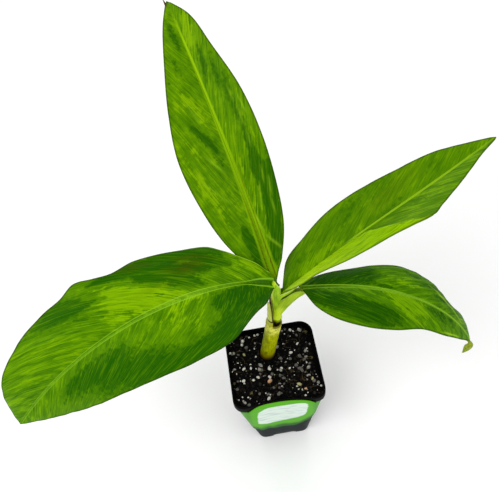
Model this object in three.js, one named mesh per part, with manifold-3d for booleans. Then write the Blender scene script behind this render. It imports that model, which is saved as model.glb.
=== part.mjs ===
// A young banana plant in its square nursery pot, in millimetres, +Z up.
// The origin is the middle of the pot's flat underside, and the labelled wall faces -Y.
import * as THREE from "three";
import { mergeVertices } from "three/addons/utils/BufferGeometryUtils.js";
import Module from "manifold-3d";

const wasm = await Module();
wasm.setup();

// Gap kept between neighbouring pieces
const clearance = 0.3;

// Pot: a tapered rounded square with a band under its rim
const pot = {
  height: 68,
  rimWidth: 57,
  footWidth: 35,
  bandHeight: 5,
  bandStep: 1.3,
  bandChamfer: 0.4,
  wall: 1.2,
  floor: 3.5,
  cornerShare: 0.15,
  archWidth: 16,
  archHeight: 2.6,
  archDepth: 4,
};
const bandFoot = pot.height - pot.bandHeight;

// Label round the front wall, just under the band
const label = { top: 62, bottom: 29, thickness: 0.6, wrapDegrees: 62 };

// Soil fills the pot to just below the rim
const soilTop = 65;

// Stem: the lower part leans, and its cut top is a cup that the upper part grows out of.
// Its radii are given at shares of its height, from the flared foot to the cup's rim.
const stem = {
  foot: [-2.3, 9.8, soilTop + clearance],
  cup: [4.5, 9, 103.3],
  heights: [0, 0.25, 0.6, 1],
  radii: [4.9, 4.7, 4.6, 4.8],
  boreFloor: 3.3,
  boreMouth: 3.8,
  cupDepth: 4,
};
const upperStem = {
  path: [
    [4.6, 9.7, 99.8],
    [6, 9.9, 104.6],
    [6.4, 9.6, 113],
    [6.7, 9.1, 123.1],
    [7, 8.6, 130.8],
    [7.3, 8.1, 137.3],
    [7.5, 7.6, 142],
  ],
  radius: [1.7, 1.8, 2.1, 2.1, 2, 1.9, 1.6],
};

// Gutters: bent strips whose section is part of a ring, open on the side away from facing.
// The values of each list go from the stem outwards.
const oldSheath = {
  facing: 200,
  path: [[4.6, 9, 103.9], [5.3, 9, 110], [6.2, 9, 117], [7.1, 9, 125.5]],
  radius: [4.2, 4.2, 4.2, 4.4],
  halfAngle: [40, 38, 30, 6],
  thickness: [0.9, 0.9, 0.8, 0.7],
};
const rightPetiole = {
  facing: -15,
  path: [
    [6, 9.9, 106.2],
    [7.2, 9.5, 112.3],
    [9.8, 8.6, 119.7],
    [13.1, 7.4, 126.4],
    [16.3, 6.3, 131.1],
    [19.1, 5.4, 134.9],
    [22, 4.5, 139],
  ],
  radius: [2.9, 2.9, 2.8, 2.5, 2.3, 2.2, 2.3],
  halfAngle: [160, 160, 158, 154, 150, 135, 105],
  thickness: [0.7, 0.7, 0.9, 1, 1.1, 1.2, 1.3],
};
const leftSheath = {
  facing: 197,
  path: [[6.7, 9.1, 122.5], [7, 8.6, 130.8], [7.2, 8.1, 136.3], [7.2, 7.6, 140.9], [6.2, 7, 144.4]],
  radius: [2.6, 2.6, 2.5, 2.5, 2.4],
  halfAngle: [165, 160, 150, 130, 95],
  thickness: [0.6, 0.6, 0.7, 0.9, 1.2],
};

// Leaves. A midrib leaves base in the direction heading (degrees from +X towards +Y), climbs at
// rise degrees and has bent down by -droop degrees at its tip, while sweep turns it sideways.
// Each half blade has its own half widths at the stations, is folded up along the midrib by fold
// degrees (at the base and at the tip), and bends down again by bend degrees towards its margin.
const stations = [0, 0.08, 0.2, 0.35, 0.5, 0.65, 0.8, 0.92, 1];
const leftLeaf = {
  base: [4.5, 6.5, 146],
  length: 159.5,
  heading: 194.5,
  sweep: [16, -8],
  rise: 38,
  droop: -83,
  droopPower: 0.9,
  roll: [-11, -35],
  bend: 25,
  left: { fold: [0, -2], lag: 2, stations, widths: [2.5, 15, 28, 32, 31, 27.5, 21, 10.5, 0.6] },
  right: { fold: [18, 28], lag: 2, stations, widths: [2.5, 13.5, 22.5, 25.5, 27, 29, 23, 17, 0.6] },
  root: 2,
};
const topLeaf = {
  base: [7.5, 9, 143.5],
  length: 155.5,
  heading: 108.5,
  sweep: [-4, 1],
  rise: 58.5,
  droop: -30,
  droopPower: 1.3,
  roll: [-3, -15],
  bend: 13,
  left: { fold: [31, 15], lag: 0, stations, widths: [2, 11.5, 20.5, 25.5, 26.5, 21.5, 14.5, 8.5, 0.6] },
  right: { fold: [34, 19], lag: 0, stations, widths: [2, 8, 15, 18.5, 19.5, 17.5, 12, 8, 0.6] },
  root: 4,
};
const cornerStations = [0, 0.08, 0.2, 0.35, 0.5, 0.6, 0.68, 0.72, 0.8, 0.92, 1];
const upperRightLeaf = {
  base: [11.5, 7.5, 135],
  length: 136,
  heading: -3,
  sweep: [11, 12],
  rise: 47.5,
  droop: -27,
  droopPower: 1.1,
  roll: [1, 0],
  bend: 9,
  left: { fold: [32, 16], lag: 0, stations, widths: [2, 13, 17, 20, 19.5, 16.5, 12.5, 5.5, 0.6] },
  right: {
    fold: [31, 16],
    lag: -2,
    stations: cornerStations,
    widths: [2, 7, 9, 14, 16, 17, 18.5, 14.5, 9.5, 2.5, 0.6],
  },
  root: 5,
};
const lowerRightLeaf = {
  base: [22, 4.5, 139],
  length: 104.5,
  heading: -15.5,
  sweep: [-1, -16],
  rise: 12,
  droop: -77,
  droopPower: 1.5,
  roll: [0, 4],
  bend: 31,
  left: { fold: [16, 1], lag: 3, stations, widths: [2, 8, 11.5, 16, 19.5, 16.5, 9, 7.5, 0.6] },
  right: { fold: [16, -1], lag: 0, stations, widths: [2, 13, 20.5, 23, 21, 15, 11, 5.5, 0.6] },
  root: 0,
};
// A blade is a little over a hundredth of its length thick, and its rib stands below it
const thicknessShare = 1 / 96;
const rib = { depth: 2.2, endShare: 0.15 };
// Curled end of the lower right leaf, as steps from the tip
const curl = {
  steps: [[-3, 0.8, 2], [0.4, 0, -1], [2.3, 0, -6], [0.3, 0, -10.7], [-3.2, -0.4, -13.5]],
  radius: 0.9,
  taper: 0.6,
};

// The faces of a blade turn from the midrib's own slope to the fold's over this distance
const foldReach = 1.6;
// A half blade that starts behind the midrib's base catches up over this share of the length
const lagReach = 0.09;

const midribSteps = 120;
const rowStep = 4;
const columns = [-1, -0.66, -0.33, -0.09, 0, 0.09, 0.33, 0.66, 1];
const roundSides = 20;
const curlSides = 8;
const cornerSteps = 7;
const radians = THREE.MathUtils.degToRad;
const mix = THREE.MathUtils.lerp;
const vector = (list) => new THREE.Vector3(...list);
const upwards = new THREE.Vector3(0, 0, 1);

// Solid from vertices and triangles, turned so that its faces point out
function solidFrom(points, triangles) {
  const geometry = new THREE.BufferGeometry();
  geometry.setAttribute("position", new THREE.Float32BufferAttribute(points.flatMap((p) => p.toArray()), 3));
  let volume = 0;
  for (const [a, b, c] of triangles) {
    volume += points[a].dot(new THREE.Vector3().crossVectors(points[b], points[c]));
  }
  const outward = volume < 0 ? triangles.map(([a, b, c]) => [a, c, b]) : triangles;
  geometry.setIndex(outward.flat());
  return solidFromGeometry(geometry);
}

function solidFromGeometry(geometry) {
  geometry.deleteAttribute("normal");
  geometry.deleteAttribute("uv");
  const merged = mergeVertices(geometry, 1e-4);
  const mesh = new wasm.Mesh({
    numProp: 3,
    vertProperties: Float32Array.from(merged.attributes.position.array),
    triVerts: Uint32Array.from(merged.index.array),
  });
  return new wasm.Manifold(mesh);
}

function geometryFrom(solid) {
  const mesh = solid.getMesh();
  const geometry = new THREE.BufferGeometry();
  geometry.setAttribute("position", new THREE.BufferAttribute(mesh.vertProperties, 3));
  geometry.setIndex(new THREE.BufferAttribute(mesh.triVerts, 1));
  geometry.computeVertexNormals();
  return geometry;
}

// Closed solid through rings of equally many points, with a flat fan at each end
function loft(rings) {
  const count = rings[0].length;
  const points = rings.flat();
  const triangles = [];
  for (let row = 0; row + 1 < rings.length; row += 1) {
    for (let i = 0; i < count; i += 1) {
      const a = row * count + i;
      const b = row * count + ((i + 1) % count);
      triangles.push([a, b, b + count], [a, b + count, a + count]);
    }
  }
  for (const [row, flip] of [[0, true], [rings.length - 1, false]]) {
    const middle = new THREE.Vector3();
    rings[row].forEach((p) => middle.addScaledVector(p, 1 / count));
    points.push(middle);
    for (let i = 0; i < count; i += 1) {
      const a = row * count + i;
      const b = row * count + ((i + 1) % count);
      triangles.push(flip ? [b, a, points.length - 1] : [a, b, points.length - 1]);
    }
  }
  return solidFrom(points, triangles);
}

// Closed solid between two grids of points that share their rows and columns
function slab(front, back) {
  const rows = front.length;
  const cols = front[0].length;
  const points = [...front.flat(), ...back.flat()];
  const offset = rows * cols;
  const triangles = [];
  const quad = (a, b, c, d) => triangles.push([a, b, c], [a, c, d]);
  for (let r = 0; r + 1 < rows; r += 1) {
    for (let c = 0; c + 1 < cols; c += 1) {
      const i = r * cols + c;
      quad(i, i + 1, i + cols + 1, i + cols);
      quad(offset + i, offset + i + cols, offset + i + cols + 1, offset + i + 1);
    }
  }
  for (let r = 0; r + 1 < rows; r += 1) {
    const first = r * cols;
    const last = first + cols - 1;
    quad(first, first + cols, offset + first + cols, offset + first);
    quad(last, offset + last, offset + last + cols, last + cols);
  }
  for (let c = 0; c + 1 < cols; c += 1) {
    const top = (rows - 1) * cols + c;
    quad(c, offset + c, offset + c + 1, c + 1);
    quad(top, top + 1, offset + top + 1, offset + top);
  }
  return solidFrom(points, triangles);
}

// Largest body of a solid, without the scraps that a cut may leave
function largest(solid) {
  return solid.decompose().reduce((best, piece) => (piece.volume() > best.volume() ? piece : best));
}

// Value of a smooth curve through the stations, with slopes taken from the neighbours
function smooth(at, values, t) {
  const last = at.length - 1;
  const slope = (i) => {
    const a = Math.max(i - 1, 0);
    const b = Math.min(i + 1, last);
    return (values[b] - values[a]) / (at[b] - at[a]);
  };
  let i = 0;
  while (i < last - 1 && t >= at[i + 1]) i += 1;
  const h = at[i + 1] - at[i];
  const q = THREE.MathUtils.clamp((t - at[i]) / h, 0, 1);
  return (
    (2 * q ** 3 - 3 * q ** 2 + 1) * values[i] +
    (q ** 3 - 2 * q ** 2 + q) * h * slope(i) +
    (3 * q ** 2 - 2 * q ** 3) * values[i + 1] +
    (q ** 3 - q ** 2) * h * slope(i + 1)
  );
}

function spaced(values, t) {
  return smooth(values.map((_, i) => i / (values.length - 1)), values, t);
}

// Rounded square at height z, counter-clockwise seen from above
function roundedSquare(half, radius, z) {
  const points = [];
  for (let corner = 0; corner < 4; corner += 1) {
    for (let i = 0; i <= cornerSteps; i += 1) {
      const angle = ((corner + i / cornerSteps) * Math.PI) / 2;
      const cx = (half - radius) * (corner === 0 || corner === 3 ? 1 : -1);
      const cy = (half - radius) * (corner < 2 ? 1 : -1);
      points.push(new THREE.Vector3(cx + radius * Math.cos(angle), cy + radius * Math.sin(angle), z));
    }
  }
  return points;
}

// Half width of the pot's outer wall at height z, below the band
function wallHalf(z) {
  return mix(pot.footWidth / 2, pot.rimWidth / 2 - pot.bandStep, z / bandFoot);
}

function potRing(half, z, inset = 0) {
  return roundedSquare(half - inset, 2 * half * pot.cornerShare - inset, z);
}

function makePot() {
  const rimHalf = pot.rimWidth / 2;
  const outer = loft([
    potRing(wallHalf(0), 0),
    potRing(wallHalf(bandFoot), bandFoot),
    potRing(rimHalf, bandFoot + pot.bandChamfer),
    potRing(rimHalf, pot.height),
  ]);
  const inner = loft([
    potRing(wallHalf(pot.floor), pot.floor, pot.wall),
    potRing(wallHalf(bandFoot), bandFoot, pot.wall),
    potRing(wallHalf(bandFoot), pot.height + 1, pot.wall),
  ]);
  let shell = outer.subtract(inner);
  for (let side = 0; side < 4; side += 1) {
    const arch = new THREE.CylinderGeometry(1, 1, 2 * pot.archDepth, roundSides);
    arch.scale(pot.archWidth / 2, 1, pot.archHeight);
    arch.translate(0, -wallHalf(0), 0);
    arch.rotateZ((side * Math.PI) / 2);
    shell = shell.subtract(solidFromGeometry(arch));
  }
  return shell;
}

// Point of the pot's front wall: across goes from -1 to 1 and ends part way round the corners
function frontWall(across, z, offset) {
  const half = wallHalf(z);
  const radius = 2 * half * pot.cornerShare;
  const flat = half - radius;
  const arc = radius * radians(label.wrapDegrees);
  const run = Math.abs(across) * (flat + arc);
  const side = Math.sign(across);
  if (run <= flat) return new THREE.Vector3(side * run, -half - offset, z);
  const angle = (run - flat) / radius;
  const reach = radius + offset;
  return new THREE.Vector3(side * (flat + reach * Math.sin(angle)), -flat - reach * Math.cos(angle), z);
}

function makeLabel() {
  const acrossSteps = 20;
  const grid = (offset) =>
    [label.bottom, label.top].map((z) =>
      Array.from({ length: acrossSteps + 1 }, (_, i) => frontWall((2 * i) / acrossSteps - 1, z, offset)),
    );
  return slab(grid(clearance), grid(clearance + label.thickness));
}

function makeSoil() {
  const inset = pot.wall + clearance;
  const foot = pot.floor + clearance;
  return loft([
    potRing(wallHalf(foot), foot, inset),
    potRing(wallHalf(bandFoot), bandFoot, inset),
    potRing(wallHalf(bandFoot), soilTop, inset),
  ]);
}

// Ring of a tube round centre, square to axis
function circle(centre, axis, radius, sides = roundSides) {
  const turn = new THREE.Quaternion().setFromUnitVectors(upwards, axis.clone().normalize());
  return Array.from({ length: sides }, (_, i) => {
    const angle = (2 * Math.PI * i) / sides;
    const spoke = new THREE.Vector3(radius * Math.cos(angle), radius * Math.sin(angle), 0);
    return spoke.applyQuaternion(turn).add(centre);
  });
}

function makeLowerStem() {
  const foot = vector(stem.foot);
  const cup = vector(stem.cup);
  const axis = cup.clone().sub(foot).normalize();
  const rows = 8;
  const rings = [];
  for (let i = 0; i <= rows; i += 1) {
    const t = i / rows;
    const radius = smooth(stem.heights, stem.radii, t);
    rings.push(circle(foot.clone().lerp(cup, t), upwards.clone().lerp(axis, t), radius));
  }
  const floor = cup.clone().addScaledVector(axis, -stem.cupDepth);
  const above = cup.clone().addScaledVector(axis, 1);
  const bore = loft([circle(floor, axis, stem.boreFloor), circle(above, axis, stem.boreMouth)]);
  return loft(rings).subtract(bore);
}

// Point of a curve, its two ends being moved outwards by grow
function reachedPoint(curve, t, grow) {
  const beyond = t <= 0 ? -grow : t >= 1 ? grow : 0;
  return curve.getPoint(t).addScaledVector(curve.getTangent(t), beyond);
}

function makeUpperStem(grow = 0) {
  const curve = new THREE.CatmullRomCurve3(upperStem.path.map(vector));
  const rows = 14;
  const rings = [];
  for (let i = 0; i <= rows; i += 1) {
    const t = i / rows;
    const radius = spaced(upperStem.radius, t) + grow;
    rings.push(circle(reachedPoint(curve, t, grow), curve.getTangent(t), radius));
  }
  return loft(rings);
}

// A gutter's section is an arc about the path whose middle lies outwards and downwards
function makeGutter(spec, grow = 0) {
  const curve = new THREE.CatmullRomCurve3(spec.path.map(vector));
  const rows = 3 * (spec.path.length - 1);
  const arcSteps = 12;
  const heading = radians(spec.facing);
  const side = new THREE.Vector3(-Math.sin(heading), Math.cos(heading), 0);
  const grid = (way) =>
    Array.from({ length: rows + 1 }, (_, row) => {
      const t = row / rows;
      const along = curve.getTangent(t);
      const out = new THREE.Vector3().crossVectors(side, along).normalize();
      const radius = spaced(spec.radius, t);
      const reach = radius + way * (spaced(spec.thickness, t) / 2 + grow);
      const half = radians(spaced(spec.halfAngle, t)) + grow / radius;
      return Array.from({ length: arcSteps + 1 }, (_, i) => {
        const angle = half * ((2 * i) / arcSteps - 1);
        return reachedPoint(curve, t, grow)
          .addScaledVector(out, reach * Math.cos(angle))
          .addScaledVector(side, reach * Math.sin(angle));
      });
    });
  return slab(grid(1), grid(-1));
}

// Midrib points with the directions along, to the left of and up from the blade
function midrib(leaf) {
  const direction = (s) => {
    const heading = radians(leaf.heading + leaf.sweep[0] * s + leaf.sweep[1] * s * s);
    const pitch = radians(leaf.rise + leaf.droop * s ** leaf.droopPower);
    return new THREE.Vector3(
      Math.cos(pitch) * Math.cos(heading),
      Math.cos(pitch) * Math.sin(heading),
      Math.sin(pitch),
    );
  };
  const rows = [];
  const point = vector(leaf.base);
  for (let i = 0; i <= midribSteps; i += 1) {
    const s = i / midribSteps;
    const along = direction(s);
    if (i > 0) {
      const mean = direction((i - 1) / midribSteps).add(along).multiplyScalar(0.5);
      point.addScaledVector(mean, leaf.length / midribSteps);
    }
    const level = new THREE.Vector3(-along.y, along.x, 0).normalize();
    const upright = new THREE.Vector3().crossVectors(along, level);
    const roll = radians(mix(leaf.roll[0], leaf.roll[1], s));
    const left = level.clone().multiplyScalar(Math.cos(roll)).addScaledVector(upright, Math.sin(roll));
    const up = upright.clone().multiplyScalar(Math.cos(roll)).addScaledVector(level, -Math.sin(roll));
    rows.push({ s, point: point.clone(), along, left, up });
  }
  return rows;
}

// Point of the blade's middle surface and its normal, u being the share of the half width
function bladePoint(leaf, row, u, grow) {
  const half = u < 0 ? leaf.right : leaf.left;
  const side = u < 0 ? -1 : 1;
  const share = Math.abs(u);
  const width = smooth(half.stations, half.widths, row.s) + grow;
  const fold = radians(mix(half.fold[0], half.fold[1], row.s));
  const bend = radians(leaf.bend);
  const out = (width * (Math.sin(fold) - Math.sin(fold - bend * share))) / bend;
  const up = (width * (Math.cos(fold - bend * share) - Math.cos(fold))) / bend;
  const lag = half.lag * share * Math.exp(-row.s / lagReach);
  const point = row.point
    .clone()
    .addScaledVector(row.left, side * out)
    .addScaledVector(row.up, up)
    .addScaledVector(row.along, -lag);
  const slope = (fold - bend * share) * Math.min((share * width) / foldReach, 1);
  const normal = row.up
    .clone()
    .multiplyScalar(Math.cos(slope))
    .addScaledVector(row.left, -side * Math.sin(slope));
  return { point, normal };
}

function makeLeaf(leaf, grow = 0) {
  const rows = midrib(leaf).filter((_, i) => i % rowStep === 0);
  const first = rows[0];
  if (leaf.root + grow > 0) {
    rows.unshift({ ...first, point: first.point.clone().addScaledVector(first.along, -leaf.root - grow) });
  }
  const half = (leaf.length * thicknessShare) / 2 + grow;
  const grid = (way) =>
    rows.map((row) =>
      columns.map((u) => {
        const { point, normal } = bladePoint(leaf, row, u, grow);
        const ribShare = mix(1, rib.endShare, row.s);
        const onRib = way < 0 && u === 0 ? rib.depth * ribShare : 0;
        return point.addScaledVector(normal, way * (half + onRib));
      }),
    );
  return slab(grid(1), grid(-1));
}

function makeCurl() {
  const tip = midrib(lowerRightLeaf).at(-1).point;
  const curve = new THREE.CatmullRomCurve3(curl.steps.map((step) => vector(step).add(tip)));
  const rows = 12;
  const rings = [];
  for (let i = 0; i <= rows; i += 1) {
    const t = i / rows;
    const radius = curl.radius * (1 - curl.taper * t ** 3);
    rings.push(circle(curve.getPoint(t), curve.getTangent(t), radius, curlSides));
  }
  return loft(rings);
}

// Every piece is cut clear of those that it grows out of
function carve(solid, ...others) {
  const cut = others.reduce((left, other) => left.subtract(other), solid);
  return largest(solidFromGeometry(geometryFrom(largest(cut))));
}

function buildSolids() {
  const stemCut = makeUpperStem(clearance);
  const petioleCut = makeGutter(rightPetiole, clearance);
  const sheathCut = makeGutter(leftSheath, clearance);
  const leftCut = makeLeaf(leftLeaf, 2 * clearance);
  const topCut = makeLeaf(topLeaf, clearance);
  const upperRightCut = makeLeaf(upperRightLeaf, clearance);
  const rightPiece = makeLeaf(lowerRightLeaf).add(makeCurl());
  return [
    ["pot", makePot(), { color: 0x2f333b, roughness: 0.5 }],
    ["label", makeLabel(), { color: 0x5caf3c, roughness: 0.45 }],
    ["soil", makeSoil(), { color: 0x17130f, roughness: 1 }],
    ["stem_lower", makeLowerStem(), { color: 0xa0a616, roughness: 0.5 }],
    ["stem_upper", makeUpperStem(), { color: 0x9ec43c, roughness: 0.45 }],
    ["old_sheath", carve(makeGutter(oldSheath), stemCut, petioleCut), { color: 0xc9cf8a, roughness: 0.6 }],
    ["petiole_lower_right", carve(makeGutter(rightPetiole), stemCut), { color: 0x9fc52c, roughness: 0.4 }],
    ["sheath_left", carve(makeGutter(leftSheath), stemCut, petioleCut), { color: 0xa5c92a, roughness: 0.4 }],
    ["leaf_left", carve(makeLeaf(leftLeaf), stemCut, sheathCut), { color: 0x5a9612, roughness: 0.4 }],
    ["leaf_top", carve(makeLeaf(topLeaf), stemCut, sheathCut, leftCut), { color: 0x5f9a10, roughness: 0.4 }],
    [
      "leaf_upper_right",
      carve(makeLeaf(upperRightLeaf), stemCut, petioleCut, sheathCut, topCut),
      { color: 0x62960f, roughness: 0.4 },
    ],
    [
      "leaf_lower_right",
      carve(rightPiece, petioleCut, upperRightCut),
      { color: 0x47800e, roughness: 0.4 },
    ],
  ];
}

const group = new THREE.Group();
for (const [name, solid, look] of buildSolids()) {
  const material = new THREE.MeshStandardMaterial({ metalness: 0, ...look });
  const mesh = new THREE.Mesh(geometryFrom(solid), material);
  mesh.name = name;
  group.add(mesh);
}

export default group;
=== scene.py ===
import math
import random

import bmesh
import bpy
import numpy as np
from mathutils import Matrix, Vector, noise


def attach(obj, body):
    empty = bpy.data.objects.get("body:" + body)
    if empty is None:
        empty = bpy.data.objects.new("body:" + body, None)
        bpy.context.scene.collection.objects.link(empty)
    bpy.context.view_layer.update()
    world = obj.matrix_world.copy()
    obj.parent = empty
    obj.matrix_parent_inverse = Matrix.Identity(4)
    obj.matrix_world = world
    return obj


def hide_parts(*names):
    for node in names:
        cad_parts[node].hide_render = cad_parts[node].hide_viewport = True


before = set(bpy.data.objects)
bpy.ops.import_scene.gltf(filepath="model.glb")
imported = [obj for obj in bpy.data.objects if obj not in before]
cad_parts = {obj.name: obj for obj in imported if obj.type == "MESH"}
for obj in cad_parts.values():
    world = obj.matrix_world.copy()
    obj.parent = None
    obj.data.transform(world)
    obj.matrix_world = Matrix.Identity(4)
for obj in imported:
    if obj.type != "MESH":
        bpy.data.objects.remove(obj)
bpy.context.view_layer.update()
print("frame loaded:", len(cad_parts), "nodes")

mm = 0.001  # lengths below are in millimetres, and meshes are made in metres
bpy.context.scene.view_settings.view_transform = "Standard"


# Curves and surfaces

def unit(vectors):
    return vectors / np.maximum(np.linalg.norm(vectors, axis=-1, keepdims=True), 1e-9)


def smooth(at, values, t):  # smooth curve through the stations, slopes taken from the neighbours
    at, values, t = (np.asarray(x, float) for x in (at, values, t))
    before = np.maximum(np.arange(len(at)) - 1, 0)
    after = np.minimum(np.arange(len(at)) + 1, len(at) - 1)
    slope = (values[after] - values[before]) / (at[after] - at[before])
    i = np.clip(np.searchsorted(at, t, side="right") - 1, 0, len(at) - 2)
    h = at[i + 1] - at[i]
    q = np.clip((t - at[i]) / h, 0, 1)
    return ((2 * q**3 - 3 * q**2 + 1) * values[i] + (q**3 - 2 * q**2 + q) * h * slope[i]
            + (3 * q**2 - 2 * q**3) * values[i + 1] + (q**3 - q**2) * h * slope[i + 1])


def ease(value, low, high):  # 0 below low, 1 above high
    q = np.clip((value - low) / (high - low), 0, 1)
    return q * q * (3 - 2 * q)


def smoothPath(path, count, *series):  # evenly spaced points, their directions and the values there
    path = np.asarray(path, float)
    at = np.concatenate([[0], np.cumsum(np.linalg.norm(np.diff(path, axis=0), axis=1))])
    t = np.linspace(0, at[-1], count)
    points = np.stack([smooth(at, path[:, axis], t) for axis in range(3)], -1)
    along = unit(np.gradient(points, axis=0))
    return points, along, t, *[smooth(at, values, t) for values in series]


def waves(x, seed, lengths, powers):  # sum of sines with fixed odd phases, about -1 to 1
    rng = np.random.default_rng(seed)
    total = sum(p * np.sin(2 * np.pi * x / length + rng.uniform(0, 6.28)) for length, p in zip(lengths, powers))
    return total / sum(powers)


def lumpy(points, scale, seed):  # soft noise, -1 to 1, at each point
    shift = Vector((seed * 7.3, seed * 3.1, seed * 5.7))
    return np.array([noise.noise(Vector(p) * scale + shift) for p in np.reshape(points, (-1, 3))])


# Meshes

def quads(a, b, c, d):
    return np.stack([a, b, c, d], -1).reshape(-1, 4).tolist()


def turnedOut(points, faces):  # closed mesh with its faces turned to point outwards
    volume = 0
    for size in (3, 4):
        ring = np.array([f for f in faces if len(f) == size], int).reshape(-1, size)
        for k in range(1, size - 1):
            a, b, c = (points[ring[:, i]] for i in (0, k, k + 1))
            volume += np.einsum("ij,ij->", a, np.cross(b, c))
    return faces if volume > 0 else [f[::-1] for f in faces]


def shellFaces(rows, cols):  # closed skin between an upper and a lower grid of points
    top = np.arange(rows * cols).reshape(rows, cols)
    low = top + rows * cols
    return (
        quads(top[:-1, :-1], top[:-1, 1:], top[1:, 1:], top[1:, :-1])
        + quads(low[:-1, :-1], low[1:, :-1], low[1:, 1:], low[:-1, 1:])
        + quads(top[:-1, 0], top[1:, 0], low[1:, 0], low[:-1, 0])
        + quads(top[:-1, -1], low[:-1, -1], low[1:, -1], top[1:, -1])
        + quads(top[0, :-1], low[0, :-1], low[0, 1:], top[0, 1:])
        + quads(top[-1, :-1], top[-1, 1:], low[-1, 1:], low[-1, :-1])
    )


def loft(rings):  # closed skin through rings of points, with a fan at each end
    rings = np.asarray(rings, float)
    count, size = rings.shape[:2]
    index = np.arange(count * size).reshape(count, size)
    onward = np.roll(index, -1, axis=1)
    points = np.concatenate([rings.reshape(-1, 3), rings[0].mean(0)[None], rings[-1].mean(0)[None]])
    faces = quads(index[:-1], onward[:-1], onward[1:], index[1:])
    first, last = count * size, count * size + 1
    faces += [[int(onward[0, i]), int(index[0, i]), first] for i in range(size)]
    faces += [[int(index[-1, i]), int(onward[-1, i]), last] for i in range(size)]
    return points, faces


def addPiece(name, points, faces, finish, node=None, slot=None, fields=None, crisp=None):
    points = np.asarray(points, float)
    faces = turnedOut(points, faces)
    mesh = bpy.data.meshes.new(name)
    mesh.from_pydata((points * mm).tolist(), [], faces)
    for key, values in (fields or {}).items():
        values = np.asarray(values, float)
        kind, field = ("FLOAT_VECTOR", "vector") if values.ndim == 2 else ("FLOAT", "value")
        mesh.attributes.new(key, kind, "POINT").data.foreach_set(field, values.ravel())
    mesh.polygons.foreach_set("use_smooth", [True] * len(mesh.polygons))
    mesh.update()
    if crisp:  # edges sharper than this many degrees aren't shaded as round
        mesh.set_sharp_from_angle(angle=math.radians(crisp))
    made = bpy.data.objects.new(name, mesh)
    bpy.context.scene.collection.objects.link(made)
    for one in finish if isinstance(finish, list) else [finish]:
        mesh.materials.append(one.material)
    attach(made, "root")
    if node:
        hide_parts(node)
    return made


def spread(values, grid):  # a field's values at every point of a grid
    values = np.asarray(values, float)
    return np.broadcast_to(values, grid.shape if values.ndim == 3 else grid.shape[:2])


def addSheet(name, upper, lower, finish, node=None, slot=None, fields=None, crisp=None):  # skin between two grids
    points = np.concatenate([upper, lower]).reshape(-1, 3)
    doubled = {"lower": np.repeat([0.0, 1.0], len(points) // 2)}
    for key, values in (fields or {}).items():
        grid = spread(values, upper)
        doubled[key] = np.concatenate([grid, grid]).reshape(-1, *grid.shape[2:])
    return addPiece(name, points, shellFaces(*upper.shape[:2]), finish, node, slot, doubled, crisp)


def addTube(name, rings, finish, node=None, slot=None, fields=None):  # skin through rings, closed at both ends
    ended = {}
    for key, values in (fields or {}).items():
        grid = spread(values, rings)
        ended[key] = np.concatenate([grid.reshape(-1, *grid.shape[2:]), grid[[0, -1]].mean(1)])
    return addPiece(name, *loft(rings), finish, node, slot, ended)


def circle(sides):  # angles of the points round a ring
    return np.linspace(0, 2 * np.pi, sides, endpoint=False)


def fromFront(angles):  # the same angles, counted from 0 both ways
    return np.where(angles > np.pi, angles - 2 * np.pi, angles)


def ringsAlong(points, along, radius, sides, sideways):  # rings square to a path; radius may vary round each
    side = unit(np.array(sideways) - (along @ np.array(sideways))[:, None] * along)
    turn = circle(sides)[:, None]
    radial = np.cos(turn) * side[:, None] + np.sin(turn) * np.cross(along, side)[:, None]
    return points[:, None] + np.reshape(radius, (len(points), -1, 1)) * radial


# Shader maths: a wire is a node's output, and sums on wires add Math nodes

def plug(hole, value):
    if isinstance(value, Wire):
        hole.id_data.links.new(value.socket, hole)
    else:
        hole.default_value = tint(value) if hole.type == "RGBA" else value


class Wire:
    def __init__(self, socket):
        self.socket = socket

    def sum(self, operation, first, second):
        made = self.socket.id_data.nodes.new("ShaderNodeMath")
        made.operation = operation
        plug(made.inputs[0], first)
        plug(made.inputs[1], second)
        return Wire(made.outputs[0])

    def __add__(self, other):
        return self.sum("ADD", self, other)

    def __sub__(self, other):
        return self.sum("SUBTRACT", self, other)

    def __rsub__(self, other):
        return self.sum("SUBTRACT", other, self)

    def __mul__(self, other):
        return self.sum("MULTIPLY", self, other)

    __radd__ = __add__
    __rmul__ = __mul__


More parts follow.
